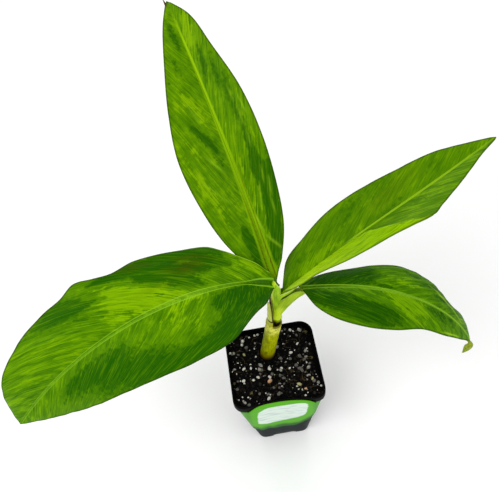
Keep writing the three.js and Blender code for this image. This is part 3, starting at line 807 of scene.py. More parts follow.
stations = (0, 0.08, 0.2, 0.35, 0.5, 0.65, 0.8, 0.92, 1)
plainLeaf = {
    "squareRoot": 0,  # how far the left half's veins stand square to the midrib near the base
    "paleEdge": 0,  # length from the base of a pale right margin
    "lineShare": 0.4, "streak": 0.11, "litVeins": [], "brown": [],
}
leaves = {
    "leaf_left": {**plainLeaf,
        "base": (4.5, 6.5, 146), "length": 159.5, "heading": 194.5, "sweep": (16, -8),
        "rise": 38, "droop": -83, "droopPower": 0.9, "roll": (-11, -35), "bend": 25,
        "left": {"fold": (0, -2), "lag": 1.9,
                 "stations": (0, 0.02, 0.04, 0.08, 0.2, 0.35, 0.5, 0.65, 0.8, 0.92, 1),
                 "widths": (3, 8, 11.8, 15.6, 28, 32, 31, 27.5, 21, 10.5, 0.6)},
        "right": {"fold": (18, 28), "lag": 2,
                  "stations": (0, 0.03, 0.06, 0.1, 0.15, 0.2, 0.28, 0.35, 0.42, 0.48, 0.53, 0.58, 0.63, 0.7, 0.8,
                               0.92, 1),
                  "widths": (6.4, 9.6, 11.9, 14.6, 18.6, 22.6, 23.9, 25.6, 27, 26.1, 28.3, 31, 28.6, 28, 25.2,
                             17.8, 0.6),
                  "cup": {"fold": 30, "lag": -5.4, "reach": 0.16}},
        "root": 5, "seed": 1, "veins": (1.3, 0.03, 1.3), "ripple": 0.4, "pleats": 0.3, "groove": 0.35,
        "ribWidth": ((0, 2.3), (0.05, 1.9), (0.1, 0.85), (0.14, 0.8), (0.3, 1.2), (0.5, 0.9), (1, 0.5)),
        "dark": (20, 80, 4), "mid": (82, 130, 4), "light": (132, 178, 10),
        "rib": (140, 192, 44), "ribDark": (88, 146, 16),
        "ribFill": ((0, 0.1), (0.3, 0.3), (1, 0.3)), "ribSides": ((0, 0.8), (0.35, 0.75), (1, 0.4)),
        "squareRoot": 0.75, "paleEdge": 28,
        "deepMix": 0.6, "contrast": 1.05, "lines": (0.8, 1), "wander": 4, "sheen": 0.16,
        "patches": [
            (0.18, -19.5, 3.5, 12, -0.8), (0.24, -20.5, 3, 12, -0.7), (0.3, -21, 3.5, 12, -0.9),
            (0.35, -22.5, 3.5, 12, -0.8), (0.41, -22.5, 3.5, 10, -0.9), (0.46, -23, 3, 10, -0.9),
            (0.52, -25.5, 2, 9, -1), (0.17, -13, 4, 7, -0.7), (0.22, -14, 4, 9, -0.8), (0.28, -13.5, 4, 9, -0.8),
            (0.33, -14.5, 4, 9, -0.8), (0.38, -16, 3.5, 9, -0.9), (0.33, -8.5, 2.5, 9, -0.9),
            (0.38, -12.5, 3, 8, -0.7), (0.27, -4.5, 3, 7, -0.7), (0.42, -16, 2, 9, -0.8), (0.29, -17.5, 2, 5, 0.7),
            (0.21, -18, 1.2, 6, 0.7), (0.38, -20.5, 1.5, 6, 0.5), (0.14, -9, 2.5, 5, 0.2), (0.09, -12, 4, 7, 0.75),
            (0.05, -7, 3, 5, 0.7), (0.12, -3, 2, 6, 0.5), (0.41, -9.5, 2.5, 12, 1), (0.46, -14, 3, 12, 1),
            (0.52, -19, 3.5, 10, 1), (0.55, -24, 3, 6, 0.9), (0.47, -8.5, 4, 12, 0.8), (0.52, -12, 4, 9, 0.6),
            (0.39, -3.5, 3, 9, 0.7), (0.33, -3, 2, 8, 0.8), (0.44, -3, 3, 8, 0.7), (0.59, -19, 2, 5, -0.8),
            (0.55, -18.5, 1.6, 5, -0.7), (0.61, -24, 5, 9, -0.7), (0.65, -23.5, 5, 9, -0.6), (0.68, -22, 5, 9, -0.7),
            (0.6, -14, 3, 7, -0.5), (0.56, -12, 2, 6, -0.4), (0.03, 0, 1.6, 7, -1.6), (0.05, 6, 5, 8, -1.6),
            (0.1, 9, 7, 9, -1.6), (0.16, 7, 5, 8, -1.3), (0.1, 17, 6, 8, -1.5), (0.17, 19, 8, 9, -1.4),
            (0.22, 26, 6, 9, -1.1), (0.28, 28, 5, 10, -1), (0.35, 29, 5, 11, -0.9), (0.43, 28, 6, 11, -0.9),
            (0.5, 24, 7, 10, -0.8), (0.57, 21, 8, 10, -0.9), (0.64, 16, 8, 10, -0.9), (0.71, 10, 7, 10, -0.9),
            (0.6, 10, 5, 9, -0.5), (0.78, 8, 5, 8, -0.6), (0.22, 7, 4, 6, -0.7), (0.26, 18, 3, 5, -0.4),
            (0.31, 13, 5, 7, 0.5), (0.19, 0.5, 2, 4, 0.3), (0.25, 1, 2, 6, 0.4), (0.3, 2, 3, 7, 0.45),
            (0.35, 2, 3, 7, 0.4), (0.4, 8, 4, 8, 0.4),
        ],
        "brown": [(0.29, -15, 4, 7, 0.7), (0.24, -18, 3, 6, 0.5), (0.42, -24, 2.5, 6, 0.5), (0.4, -10, 1.6, 10, 0.3)],
    },
    "leaf_top": {**plainLeaf,
        "base": (7.5, 9, 143.5), "length": 158.2, "heading": 108.5, "sweep": (-4, 1),
        "rise": 58.5, "droop": -30, "droopPower": 1.3, "roll": (-3, -15), "bend": 13,
        "left": {"fold": (31, 15), "lag": 0, "widths": (2, 11.9, 21.2, 26.1, 26.9, 21.9, 14.2, 7.2, 0.6),
                 "cup": {"fold": -30, "lag": 0, "reach": 0.26}},
        "right": {"fold": (34, 19), "lag": 0, "stations": (0, 0.04, 0.08, 0.2, 0.35, 0.5, 0.65, 0.8, 0.92, 1),
                  "widths": (0.9, 4.2, 8, 15.2, 18.8, 20, 18.2, 12.8, 8.4, 0.6)},
        "root": 4, "seed": 2, "veins": (1.5, 0.04, 2.3), "ripple": 0.3, "pleats": 0.2, "groove": 0.2,
        "ribWidth": ((0, 3.1), (0.15, 2.5), (0.3, 1.9), (0.42, 1.5), (0.6, 1.1), (0.9, 0.7), (1, 0.5)),
        "dark": (26, 80, 2), "mid": (84, 130, 4), "light": (130, 172, 10),
        "rib": (146, 190, 20), "ribDark": (98, 134, 4),
        "ribFill": ((0, 0.3), (0.15, 0.45), (0.3, 0.65), (0.6, 0.8), (0.85, 0.9), (0.95, 0.2), (1, 0)),
        "ribSides": ((0, 0.2), (0.3, 0.4), (0.7, 0.1), (1, 0)),
        "deepMix": 0.6, "contrast": 1.3, "lines": (0.45, 0.75), "lineShare": 0.6, "wander": 6, "sheen": 0.16,
        "litVeins": [
            ((0.29, -13.6), (0.36, -15.8), 0.5, 0.4), ((0.27, -6.6), (0.35, -10.1), 0.6, 0.4),
            ((0.23, -12.6), (0.3, -13.2), 0.5, 0.35), ((0.25, -2.2), (0.175, -3.7), 0.6, 0.5),
            ((0.175, -3.7), (0.11, -10.2), 0.8, 0.45), ((0.34, -12.2), (0.4, -14), 0.5, 0.35),
            ((0.41, 5.7), (0.49, 13.7), 0.5, 0.5), ((0.29, 6.4), (0.42, 20.4), 0.4, 0.3),
            ((0.57, 7.9), (0.67, 12), 0.6, 0.3), ((0.61, -12.3), (0.67, -12.2), 0.5, 0.35),
            ((0.53, -12.9), (0.6, -13.4), 0.5, 0.35), ((0.46, -12.4), (0.52, -13.6), 0.5, 0.35),
            ((0.56, -16.5), (0.63, -15.5), 0.4, 0.4),
        ],
        "patches": [
            (0.87, 4, 2.4, 9, -0.8), (0.79, -5, 2.5, 8, -0.6), (0.74, -4.5, 2.2, 6, -0.6), (0.7, -9, 2.5, 5, -0.5),
            (0.78, 9, 3, 7, -0.5), (0.72, 15, 2.5, 6, -0.5), (0.55, 11, 4.5, 4.5, -0.6), (0.52, 8, 3.5, 4.5, -0.6),
            (0.49, 6, 2, 3, -0.3), (0.58, 13, 3, 4, -0.5), (0.45, 6, 3, 7, -0.5), (0.42, -12, 3, 10, -0.8),
            (0.35, -14, 5, 10, -1.1), (0.28, -13, 5.5, 9, -1.1), (0.22, -10.5, 5, 8, -1.1), (0.16, -9, 4.5, 7, -1.2),
            (0.11, -7, 4, 6, -1.1), (0.26, -7, 1.2, 5, 0.8), (0.12, -8.5, 0.8, 5, 0.9), (0.33, -15.5, 1, 8, 0.6),
            (0.17, 5.5, 3, 7, -0.9), (0.2, 6.5, 2.5, 6, -0.6), (0.12, 5, 3, 6, -0.9), (0.08, 4, 3, 6, -0.9),
            (0.6, -12, 3, 8, -0.6), (0.67, -11.5, 3, 8, -0.6), (0.52, -13, 2.5, 9, -0.6), (0.46, -11, 2, 8, -0.5),
            (0.75, -9.5, 2.5, 7, -0.5), (0.4, -9, 1.5, 8, -0.4), (0.91, -5, 3.5, 8, 0.9), (0.85, -3.5, 2.5, 7, 0.7),
            (0.7, 2, 2, 6, 0.3), (0.68, 11.5, 3.5, 6, 0.7), (0.65, 16.5, 3, 5, 0.5), (0.61, 7.5, 4, 6, 0.6),
            (0.52, 18, 4, 7, 0.5), (0.51, 24, 3, 6, 0.5), (0.35, 16.5, 5, 7, 0.5), (0.4, 19.5, 4, 7, 0.5),
            (0.27, 14.5, 4, 6, 0.5), (0.46, -9, 1.5, 6, 0.5), (0.4, -4, 1.2, 6, 0.6), (0.44, -4.5, 1.2, 5, 0.5),
            (0.33, -6, 1.6, 6, 0.5), (0.28, -4, 1.2, 5, 0.5), (0.2, -4.5, 1, 3, 0.8), (0.17, -6, 1, 2.5, 0.9),
            (0.14, -7.5, 1, 2.5, 0.8), (0.31, 7, 2, 5, 0.4), (0.52, -15.5, 0.8, 6, 0.6), (0.48, -16, 0.8, 6, 0.6),
            (0.44, -17, 0.8, 6, 0.6),
        ],
        "brown": [(0.09, -1.4, 0.5, 16, 1.2), (0.07, 1.5, 0.4, 12, 1.1), (0.22, 0.9, 0.35, 16, 0.9),
                  (0.3, -1.8, 0.3, 20, 0.8), (0.73, 20, 1.2, 14, 0.3)],
    },
    "leaf_upper_right": {**plainLeaf,
        "base": (11.5, 7.5, 135), "length": 136, "heading": -3, "sweep": (11, 12),
        "rise": 47.5, "droop": -27, "droopPower": 1.1, "roll": (1, 0), "bend": 9,
        "left": {"fold": (32, 16), "lag": 0, "widths": (1.6, 12.4, 17, 20.5, 20, 17.1, 13.2, 6.2, 0.6)},
        "right": {"fold": (31, 16), "lag": -2,
                  "stations": (0, 0.08, 0.2, 0.35, 0.5, 0.6, 0.68, 0.72, 0.8, 0.92, 1),
                  "widths": (2, 7, 9, 14.3, 16.4, 17.8, 19.5, 16.3, 11.2, 3.6, 0.6)},
        "root": 5, "seed": 3, "veins": (1.5, 0.03, 1.5), "ripple": 0.12, "pleats": 0.16, "groove": 0.12,
        "ribWidth": ((0, 0.95), (0.5, 0.75), (1, 0.55)),
        "dark": (44, 92, 4), "mid": (80, 124, 6), "light": (118, 162, 8),
        "rib": (150, 190, 40), "ribDark": (126, 170, 20),
        "ribFill": ((0, 0), (0.33, 0.1), (0.42, 0.9), (0.85, 0.8), (1, 0.3)), "ribSides": ((0, 0), (1, 0)),
        "deepMix": 0.7, "contrast": 1.1, "lines": (0.9, 0.9), "wander": 4, "sheen": 0.11,
        "crease": {"at": (0, 0.38, 0.42, 0.467, 0.525, 0.575, 0.625, 0.68, 0.72),
                   "share": (0.02, 0.02, 0.12, 0.38, 0.62, 0.84, 0.93, 1, 1.2), "height": 1.3},
        # strip: painted light on the bent-down strip outside the crease, brighter at the root, with a painted
        # highlight line along the fold
        "strip": {"colour": (142, 188, 0), "root": (176, 216, 20), "share": 0.95, "line": (156, 200, 34)},
        "patches": [
            (0.13, 7.5, 3, 8, -0.5), (0.25, 10.5, 4, 8, -0.4), (0.39, 10, 5, 9, -0.35), (0.45, 15.5, 4, 9, -0.4),
            (0.57, 14, 4, 8, -0.5), (0.57, 18.5, 2, 7, -0.4), (0.77, 8.5, 3, 6, -0.4), (0.36, 15, 3, 7, -0.3),
            (0.55, 1.5, 3, 7, -0.4), (0.49, 0.5, 2.5, 6, -0.35), (0.61, 2.5, 2, 7, -0.25), (0.63, -18, 3, 6, 0.5),
            (0.61, -10.5, 3, 6, 0.3), (0.43, 2.5, 2, 6, 0.4), (0.74, -7.5, 2, 8, 0.2), (0.31, 13.5, 1.5, 6, 0.4),
            (0.22, 9.5, 1.2, 6, 0.4), (0.29, 5.5, 1.2, 5, 0.3), (0.13, 2, 2.5, 7, 0.7), (0.2, 3, 3, 7, 0.8),
            (0.27, 3.5, 2.5, 6, 0.7), (0.34, 2.5, 2, 5, 0.5), (0.66, -6, 4, 10, 0.4), (0.74, -5, 3, 8, 0.3),
        ],
        "brown": [(0.6, 9, 5, 14, 0.25)],
    },
    "leaf_lower_right": {**plainLeaf,
        "base": (22, 4.5, 139), "length": 105.6, "heading": -15.5, "sweep": (-1, -16),
        "rise": 12, "droop": -77, "droopPower": 1.5, "roll": (0, 4), "bend": 31,
        "left": {"fold": (16, 1), "lag": 3, "widths": (2, 8, 11.5, 16, 19.5, 16.5, 9, 7.5, 0.6)},
        "right": {"fold": (16, -1), "lag": 0, "widths": (2, 13, 20.5, 23, 21, 15, 11, 5.5, 0.6)},
        "root": 0, "seed": 4, "veins": (1.3, 0.07, 1.3), "ripple": 0.35, "pleats": 0.25, "groove": 0.3,
        "ribWidth": ((0, 1), (0.5, 0.7), (1, 0.5)),
        "dark": (18, 68, 4), "mid": (74, 122, 6), "light": (118, 164, 8),
        "rib": (142, 186, 50), "ribDark": (84, 136, 20),
        "ribFill": ((0, 0.15), (0.3, 0.35), (0.5, 0.8), (1, 0.7)),
        "ribSides": ((0, 0.75), (0.3, 0.75), (0.55, 0.5), (1, 0.2)),
        # litVeins of this leaf are painted highlights along its margins near the tip
        "litVeins": [((0.64, 12.2), (0.88, 2), 0.5, 0.85), ((0.77, -10.6), (0.91, -5), 0.4, 0.9)],
        "deepMix": 0.7, "contrast": 1.1, "lines": (0.85, 0.8), "wander": 7, "streak": 0.22, "sheen": 0.08,
        "patches": [
            (0.05, 5, 3, 7, -1), (0.12, 8, 4, 8, -1.1), (0.2, 8, 5, 8, -1.1), (0.28, 8, 5, 7, -1),
            (0.34, 6, 4, 5, -1), (0.12, 2, 2.5, 7, -0.8), (0.2, 2, 2, 7, -0.8), (0.05, -6, 4, 6, -1.1),
            (0.12, -9, 6, 7, -1.3), (0.2, -11, 7, 7, -1.2), (0.28, -12, 6, 6, -1), (0.35, -12, 4, 5, -1),
            (0.42, -12, 3, 4, -1), (0.47, -13, 3, 4, -0.9), (0.3, -18, 3, 6, -0.8), (0.4, -18, 3, 6, -0.8),
            (0.5, -17, 2.5, 5, -0.6), (0.25, -6, 3, 5, -0.5), (0.56, 14, 2, 5, -0.7), (0.5, 15.5, 1.5, 6, -0.6),
            (0.4, 2.5, 1, 5, -1), (0.45, 2, 0.8, 5, -0.6), (0.28, -5, 1.5, 4, 0.4), (0.43, 12.5, 3, 5, 0.5),
            (0.49, 8.5, 3.5, 5, 0.6), (0.55, 6.5, 2.5, 5, 0.5), (0.39, 6.5, 1.6, 4, 0.4), (0.45, -2, 2.5, 6, 0.9),
            (0.52, -3, 4, 6, 1), (0.58, -5.5, 4, 6, 0.9), (0.57, -12, 3.5, 5, 0.8), (0.5, -7, 2, 4, 0.7),
            (0.64, -5.5, 3, 5, 0.4), (0.65, 11.5, 2, 6, -1), (0.73, 7.5, 2, 6, -1), (0.81, 4.5, 1.6, 5, -0.9),
            (0.66, -3.5, 3, 4, -0.6), (0.73, -3, 3.5, 5, -0.8), (0.81, -2, 3, 4, -0.6), (0.72, 9, 0.6, 7, 0.9),
            (0.83, 4, 0.6, 6, 0.9), (0.81, -9, 0.9, 5, 0.9), (0.89, -6, 0.8, 4, 0.9), (0.66, -12, 1.5, 5, 0.4),
        ],
    },
}
blade = {
    "rows": 300,
    "columns": 42,  # on each side of the midrib
    "thickness": 0.5,
    "ribDepth": 2.2,
    "ribEnd": 0.15,
    "veinSpacing": 2.3,
    "veinRelief": 0.06,
    "foldReach": 1.6,
    "lagReach": 0.09,
    "patchSlant": 0.55,  # share of the veins' slant that the dark and light patches follow
}


def midrib(leaf, s):  # points with the directions along, to the left of and up from the blade
    ahead = np.maximum(s, 0)
    heading = np.radians(leaf["heading"] + leaf["sweep"][0] * ahead + leaf["sweep"][1] * ahead**2)
    pitch = np.radians(leaf["rise"] + leaf["droop"] * ahead ** leaf["droopPower"])
    along = np.stack([np.cos(pitch) * np.cos(heading), np.cos(pitch) * np.sin(heading), np.sin(pitch)], -1)
    steps = (along[1:] + along[:-1]) / 2 * (np.diff(s) * leaf["length"])[:, None]
    points = np.concatenate([np.zeros((1, 3)), np.cumsum(steps, 0)])
    points += np.array(leaf["base"]) - [np.interp(0, s, points[:, axis]) for axis in range(3)]
    level = unit(np.stack([-along[:, 1], along[:, 0], 0 * s], -1))
    upright = np.cross(along, level)
    roll = np.radians(leaf["roll"][0] + (leaf["roll"][1] - leaf["roll"][0]) * ahead)[:, None]
    left = level * np.cos(roll) + upright * np.sin(roll)
    up = upright * np.cos(roll) - level * np.sin(roll)
    return points, along, left, up


def growBlade(leaf):
    s = np.linspace(-leaf["root"] / leaf["length"], 1, blade["rows"])
    t = np.linspace(-1, 1, 2 * blade["columns"] + 1)
    u = np.sign(t) * np.abs(t) ** 1.5
    points, along, left, up = midrib(leaf, s)
    side, share = np.sign(u)[None], np.abs(u)[None]
    ahead = np.maximum(s, 0)[:, None]
    halves = []
    for key in ("right", "left"):
        half = leaf[key]
        width = smooth(half.get("stations", stations), half["widths"], ahead[:, 0])[:, None]
        width = width * np.clip((1 - ahead) / 0.012, 0.02, 1) ** 0.5
        if s[0] < 0:  # rounded off inside the stem
            width = width * np.sqrt(np.clip(1 - (np.minimum(s, 0) / s[0])[:, None] ** 2, 0.01, 1))
        plain = half["fold"][0] + (half["fold"][1] - half["fold"][0]) * ahead
        lag = half["lag"] * np.exp(-ahead / blade["lagReach"])
        fold = plain
        if "cup" in half:  # the half stands up more, or lies flatter, near the base
            near = np.exp(-((ahead / half["cup"]["reach"]) ** 2))
            fold, lag = plain + half["cup"]["fold"] * near, lag + half["cup"]["lag"] * near
            if half["cup"]["fold"] < 0:
                width = width * np.cos(np.radians(plain)) / np.cos(np.radians(fold))
        halves.append((width, np.radians(fold), lag))
    width, fold, lag = (np.where(side < 0, first, second) for first, second in zip(*halves))
    bend = math.radians(leaf["bend"])
    out = width * (np.sin(fold) - np.sin(fold - bend * share)) / bend
    rise = width * (np.cos(fold - bend * share) - np.cos(fold)) / bend
    middle = (points[:, None] + left[:, None] * (side * out)[..., None] + up[:, None] * rise[..., None]
              - along[:, None] * (lag * share)[..., None])
    slope = (fold - bend * share) * np.minimum(share * width / blade["foldReach"], 1)
    normal = up[:, None] * np.cos(slope)[..., None] - left[:, None] * (side * np.sin(slope))[..., None]
    return s, u, middle, normal, width


def veinSlant(leaf, s, away, side):  # how much further along the midrib a side vein is, this far from it
    left, curve, right = leaf["veins"]
    square = leaf["squareRoot"] * (1 - ease(np.asarray(s), -0.1, 0.9)) * (np.asarray(side) > 0)
    return (np.where(side < 0, right, left) * away + curve * away**2) * (1 - square)


def patchField(patches, leaf, run, away, across):  # soft spots: place along and across, half sizes, strength
    slanted = run - blade["patchSlant"] * veinSlant(leaf, run / leaf["length"], away, across)
    total = 0 * slanted
    for at, off, wide, long, power in patches:
        home = at * leaf["length"] - blade["patchSlant"] * float(veinSlant(leaf, at, abs(off), off))
        total += power * np.exp(-(((slanted - home) / long) ** 2) - ((across - off) / wide) ** 2)
    return total


def litField(leaf, run, across):  # thin bright lines: from and to (along, across), half width, strength
    total = 0 * run + 0 * across
    for start, end, wide, power in leaf["litVeins"]:
        first, last = (np.array([at * leaf["length"], off]) for at, off in (start, end))
        way = last - first
        share = np.clip(((run - first[0]) * way[0] + (across - first[1]) * way[1]) / (way @ way), 0, 1)
        gap = np.hypot(run - first[0] - share * way[0], across - first[1] - share * way[1])
        total = np.maximum(total, power * np.exp(-((gap / wide) ** 2)) * (0.25 + 0.75 * np.sin(np.pi * share)))
    return total


def bladeRelief(leaf, s, share, side, away, width, vein):
    seed, run = leaf["seed"], s * leaf["length"]
    fade = ease(away, 1.5, 5) * (1 - ease(share, 0.8, 1))
    phase = vein + 0.5 * waves(vein, seed, (9, 14), (1, 1))
    lift = blade["veinRelief"] * np.sin(2 * np.pi * phase / blade["veinSpacing"]) * fade
    lift = lift * np.where(side < 0, *leaf["lines"][::-1])
    lift += leaf["pleats"] * waves(vein + 7 * side, seed + 10, (13, 21, 34), (1, 1.2, 1)) * ease(away, 2, 9)
    edge = share**3 * np.minimum(width / 12, 1)
    return lift + leaf["ripple"] * waves(run + 31 * side, seed + 20, (17, 26, 41), (0.7, 1, 1)) * edge


def creaseRidge(leaf, s, share, side, width):  # a bent-down strip outside a straight crease
    crease = leaf["crease"]
    line = np.interp(s, crease["at"], crease["share"]) + 0.02 * waves(s * leaf["length"], 5, (7, 12, 19), (1, 1, 1))
    tent = np.where(share < line, share / line, (1 - share) / np.maximum(1 - line, 0.02))
    inside = (side < 0) * ease(line, 0.04, 0.3) * (1 - ease(line, 0.85, 1.05))
    ridge = crease["height"] * np.clip(tent, 0, 1) * inside * np.minimum(width / 14, 1)
    return ridge, np.where(side < 0, np.clip((share - line) * width, -4, 4), -4)  # how far outside the crease


def growLeaf(name, leaf):
    s, u, middle, normal, width = growBlade(leaf)
    side, share, s = np.sign(u)[None], np.abs(u)[None], s[:, None]
    away = share * width  # distance from the midrib
    ahead = np.maximum(s, 0)
    vein = s * leaf["length"] - veinSlant(leaf, s, away, side)
    lift = bladeRelief(leaf, s, share, side, away, width, vein)
    strip = 0 * away
    if "crease" in leaf:
        ridge, strip = creaseRidge(leaf, s, share, side, width)
        lift = lift + ridge
    ribHalf = np.interp(ahead, *zip(*leaf["ribWidth"]))
    reach = away / ribHalf
    groove = np.exp(-((reach * 1.6) ** 2)) - 0.55 * np.exp(-(((reach - 1.05) * 2.4) ** 2))
    groove = groove * leaf["groove"] * (1 - 0.6 * ahead)
    keelHalf = 0.8 + 1.3 * (1 - ahead) ** 0.7
    keel = np.sqrt(np.clip(1 - (away / keelHalf) ** 2, 0, 1))
    keel = keel * blade["ribDepth"] * (blade["ribEnd"] + (1 - blade["ribEnd"]) * (1 - ahead))
    half = blade["thickness"] / 2 * (0.4 + 0.6 * (1 - share**4)) + 0 * away
    top = middle + normal * (lift + half - groove)[..., None]
    low = middle + normal * (lift - half - keel)[..., None]
    across = away * side
    run = s * leaf["length"]
    lined = np.where(side < 0, *leaf["lines"][::-1])
    return addSheet(name + "_blade", top, low, leafFinish(name, leaf), name, "leaf", crisp=50, fields={
        "spot": np.stack(np.broadcast_arrays(vein, across, 50 * leaf["seed"]), -1),
        "run": run, "across": across, "rib": reach, "edge": width - away, "strip": strip, "lined": lined,
        "fill": np.interp(ahead, *zip(*leaf["ribFill"])),
        "sides": np.interp(ahead, *zip(*leaf["ribSides"])),
        "pale": np.exp(-((run / max(leaf["paleEdge"], 0.1)) ** 2)) * (side < 0) * (leaf["paleEdge"] > 0),
        "patch": patchField(leaf["patches"], leaf, run, away, across),
        "brown": patchField(leaf["brown"], leaf, run, away, across),
        "lit": litField(leaf, run, across),
    })


def leafFinish(name, leaf):
    finish = Finish(name + "Skin", {"Specular IOR Level": leaf["sheen"], "Specular Tint": (0.45, 0.75, 0.08, 1)})
    spot = finish.read("spot", "Vector")  # along the veins' feet and across the blade, in millimetres
    rib, edge, patch, strip, brown, under, fill, sides, pale = (
        finish.read(key) for key in ("rib", "edge", "patch", "strip", "brown", "lower", "fill", "sides", "pale"))
    dark, mid, light = (tint(leaf[key]) for key in ("dark", "mid", "light"))
    wander = finish.node("ShaderNodeTexNoise", inputs={"Vector": spot, "Scale": 0.11, "Detail": 2.0}, output=1)
    wander = finish.node("ShaderNodeVectorMath", {"operation": "SUBTRACT"}, {0: wander, 1: (0.5, 0.5, 0.5)})
    wander = finish.node("ShaderNodeVectorMath", {"operation": "SCALE"}, {0: wander, "Scale": leaf["wander"]})
    wavy = finish.node("ShaderNodeVectorMath", {"operation": "ADD"}, {0: spot, 1: wander})
    lined = finish.read("lined")  # how much of the pattern follows the side veins
    flat = finish.node("ShaderNodeCombineXYZ", inputs={0: finish.read("run"), 1: finish.read("across"), 2: 7.0})
    cloud = finish.grain(flat, (0.13, 0.13, 1), 5, 0.62)
    blotch = cloud + (finish.grain(wavy, (0.2, 0.13, 1), 5, 0.62) - cloud) * lined
    streaks = 0.5 + (finish.grain(wavy, (1.0, leaf["streak"], 1), 3, 0.55) - 0.5) * (0.3 + 0.7 * lined)
    fine = finish.grain(wavy, (1.9, 0.24, 1), 2, 0.5)
    veinLines = finish.step(finish.grain(wavy, (1.3, 0.05, 1), 1), 0.6, 0.68)
    mottle = finish.grain(flat, (0.4, 0.4, 1), 3, 0.6)
    wide, thin = streaks - 0.5, fine - 0.5
    # ragged tears the edges of the patches
    ragged = (blotch - 0.5) * 2.1 + wide * 1.5 + thin * 0.6 + (mottle - 0.5) * 1.2
    even = ((blotch - 0.5) * 1.5 + wide * 0.9 + thin * lined * 0.7) * leaf["contrast"]
    tone = finish.node("ShaderNodeClamp", inputs={"Value": even + 0.46})
    finish.colour = finish.ramp(tone, [(0.1, blend(dark, mid, 0.3)), (0.5, mid), (0.9, light)])
    rough = streaks + thin * 0.7
    deep = finish.step(ragged - patch, 0.25, 0.75)
    finish.coat(deep * 0.88, finish.mix(finish.step(rough, 0.5, 0.7), dark, blend(dark, mid, leaf["deepMix"])))
    fresh = finish.mix(finish.step(rough, 0.34, 0.56), blend(mid, light, 0.25), light)
    finish.coat(finish.step(ragged + patch, 0.3, 0.75) * 0.8, fresh)
    calm = (1 - deep * 0.75) * lined
    flecks = finish.step(fine + wide * 0.5, 0.58, 0.72)
    finish.coat(flecks * calm * (0.4 * leaf["contrast"]), blend(dark, mid, 0.2))
    finish.coat(veinLines * calm * (leaf["lineShare"] * leaf["contrast"]), light)
    # painted light on the bent-down strip outside the crease, and a painted highlight along the fold
    if "strip" in leaf:
        strip = finish.step(strip + wide * 7 + thin * 2, -0.3, 0.5)
        along = finish.step(finish.read("run"), 15, 65)
        bright = finish.mix(along, leaf["strip"]["root"], leaf["strip"]["colour"])
        lit = finish.step(finish.grain(flat, (0.06, 1.3, 1), 3, 0.6), 0.46, 0.66) * (0.4 + along * 0.6)
        share = leaf["strip"]["share"]
        finish.coat(strip * share * (0.55 + tone * 0.6), finish.mix(lit, bright, blend(mid, light, 0.6)))
        finish.coat(strip * (1 - strip) * (3 * share), leaf["strip"]["line"])
    ribLines = finish.step(finish.grain(spot, (0.012, 1.5, 1), 2), 0.38, 0.52)
    finish.coat((1 - finish.step(rib, 0.75, 1.15)) * fill, finish.mix(ribLines, leaf["ribDark"], leaf["rib"]))
    # pale lines along the midrib's sides: partly its own paler colour, partly a painted highlight on its shoulders
    finish.coat(finish.step(rib, 0.72, 1.0) * (1 - finish.step(rib, 1.1, 1.4)) * sides, leaf["rib"])
    finish.coat(brown * finish.step(streaks + blotch * 0.5, 0.6, 0.85) * 0.9, (74, 50, 8))
    # thin bright lines: pale veins on the top leaf, painted highlights near the margins on the lower right leaf
    finish.coat(finish.read("lit") * (0.3 + streaks), (160, 206, 40))
    rim = 1 - finish.step(edge, 0.3, 1.05)
    finish.coat(rim * 0.7, (42, 62, 2))
    finish.coat((1 - finish.step(edge, 0.25, 0.8)) * pale, (152, 204, 52))
    finish.coat(under * 0.85, finish.mix(finish.step(streaks, 0.35, 0.7), (84, 122, 34), (112, 150, 52)))
    return finish.paint(0.36 + streaks * 0.12 + under * 0.25 + rim * 0.4, streaks * 0.6 + fine * 0.5, 0.1)


for name, leaf in leaves.items():
    growLeaf(name, leaf)
print("leaves done")


# Tips: a dry hair on the top leaf and a small curled blade on the lower right one

tips = {
    "hairRoot": 0.988,  # place along the top leaf's margin
    "hair": ((0.7, -1, -0.8), (0.2, 0, 0), (-0.2, 1, 0.9), (-0.8, 2.2, 2)),
    "hairRadius": (0.5, 0.55, 0.38, 0.13),
    "curlRoot": (107.2, -27.2, 108.4),
    "curl": ((-3, 0.8, 2), (0.3, 0, -1), (1.6, 0, -3.6), (1.9, 0, -6.5), (1.0, 0, -10), (-1.0, -0.3, -13.8)),
    "curlWidth": (0.7, 0.7, 1.0, 2.1, 1.9, 0.2),
    "curlFold": (0.3, 0.3, 0.5, 0.6, 0.5, 0.2),
    "curlFacing": (0.1, 0.75, -0.65),
}


def makeTips():
    margin = growBlade(leaves["leaf_top"])[2][:, -1]
    root = margin[int(tips["hairRoot"] * blade["rows"])]
    points, along, _, radius = smoothPath(root + np.array(tips["hair"]), 14, tips["hairRadius"])
    addTube("leaf_top_tip", ringsAlong(points, along, radius, 12, (1, 0, 0)),
            plainFinish("dryTip", (92, 62, 24), 0.7, 0.1), slot="leaf")
    path = np.array(tips["curlRoot"]) + np.array(tips["curl"])
    points, along, _, width, fold = smoothPath(path, 40, tips["curlWidth"], tips["curlFold"])
    side = unit(np.cross(along, np.array(tips["curlFacing"])))
    front = unit(np.cross(side, along))
    share = np.linspace(-1, 1, 13)
    spine = points[:, None] + side[:, None] * (width[:, None] * share)[..., None]
    hollow = (1 - share**2) * (width * fold)[:, None]
    upper, lower = (spine - front[:, None] * (hollow + half)[..., None] for half in (-0.2, 0.2))
    addSheet("leaf_lower_right_tip", upper, lower, plainFinish("curledTip", (140, 160, 24), 0.5, 0.05, 700),
             slot="leaf")


makeTips()


# Gutters: bent strips whose section is part of a ring, open on the side away from facing

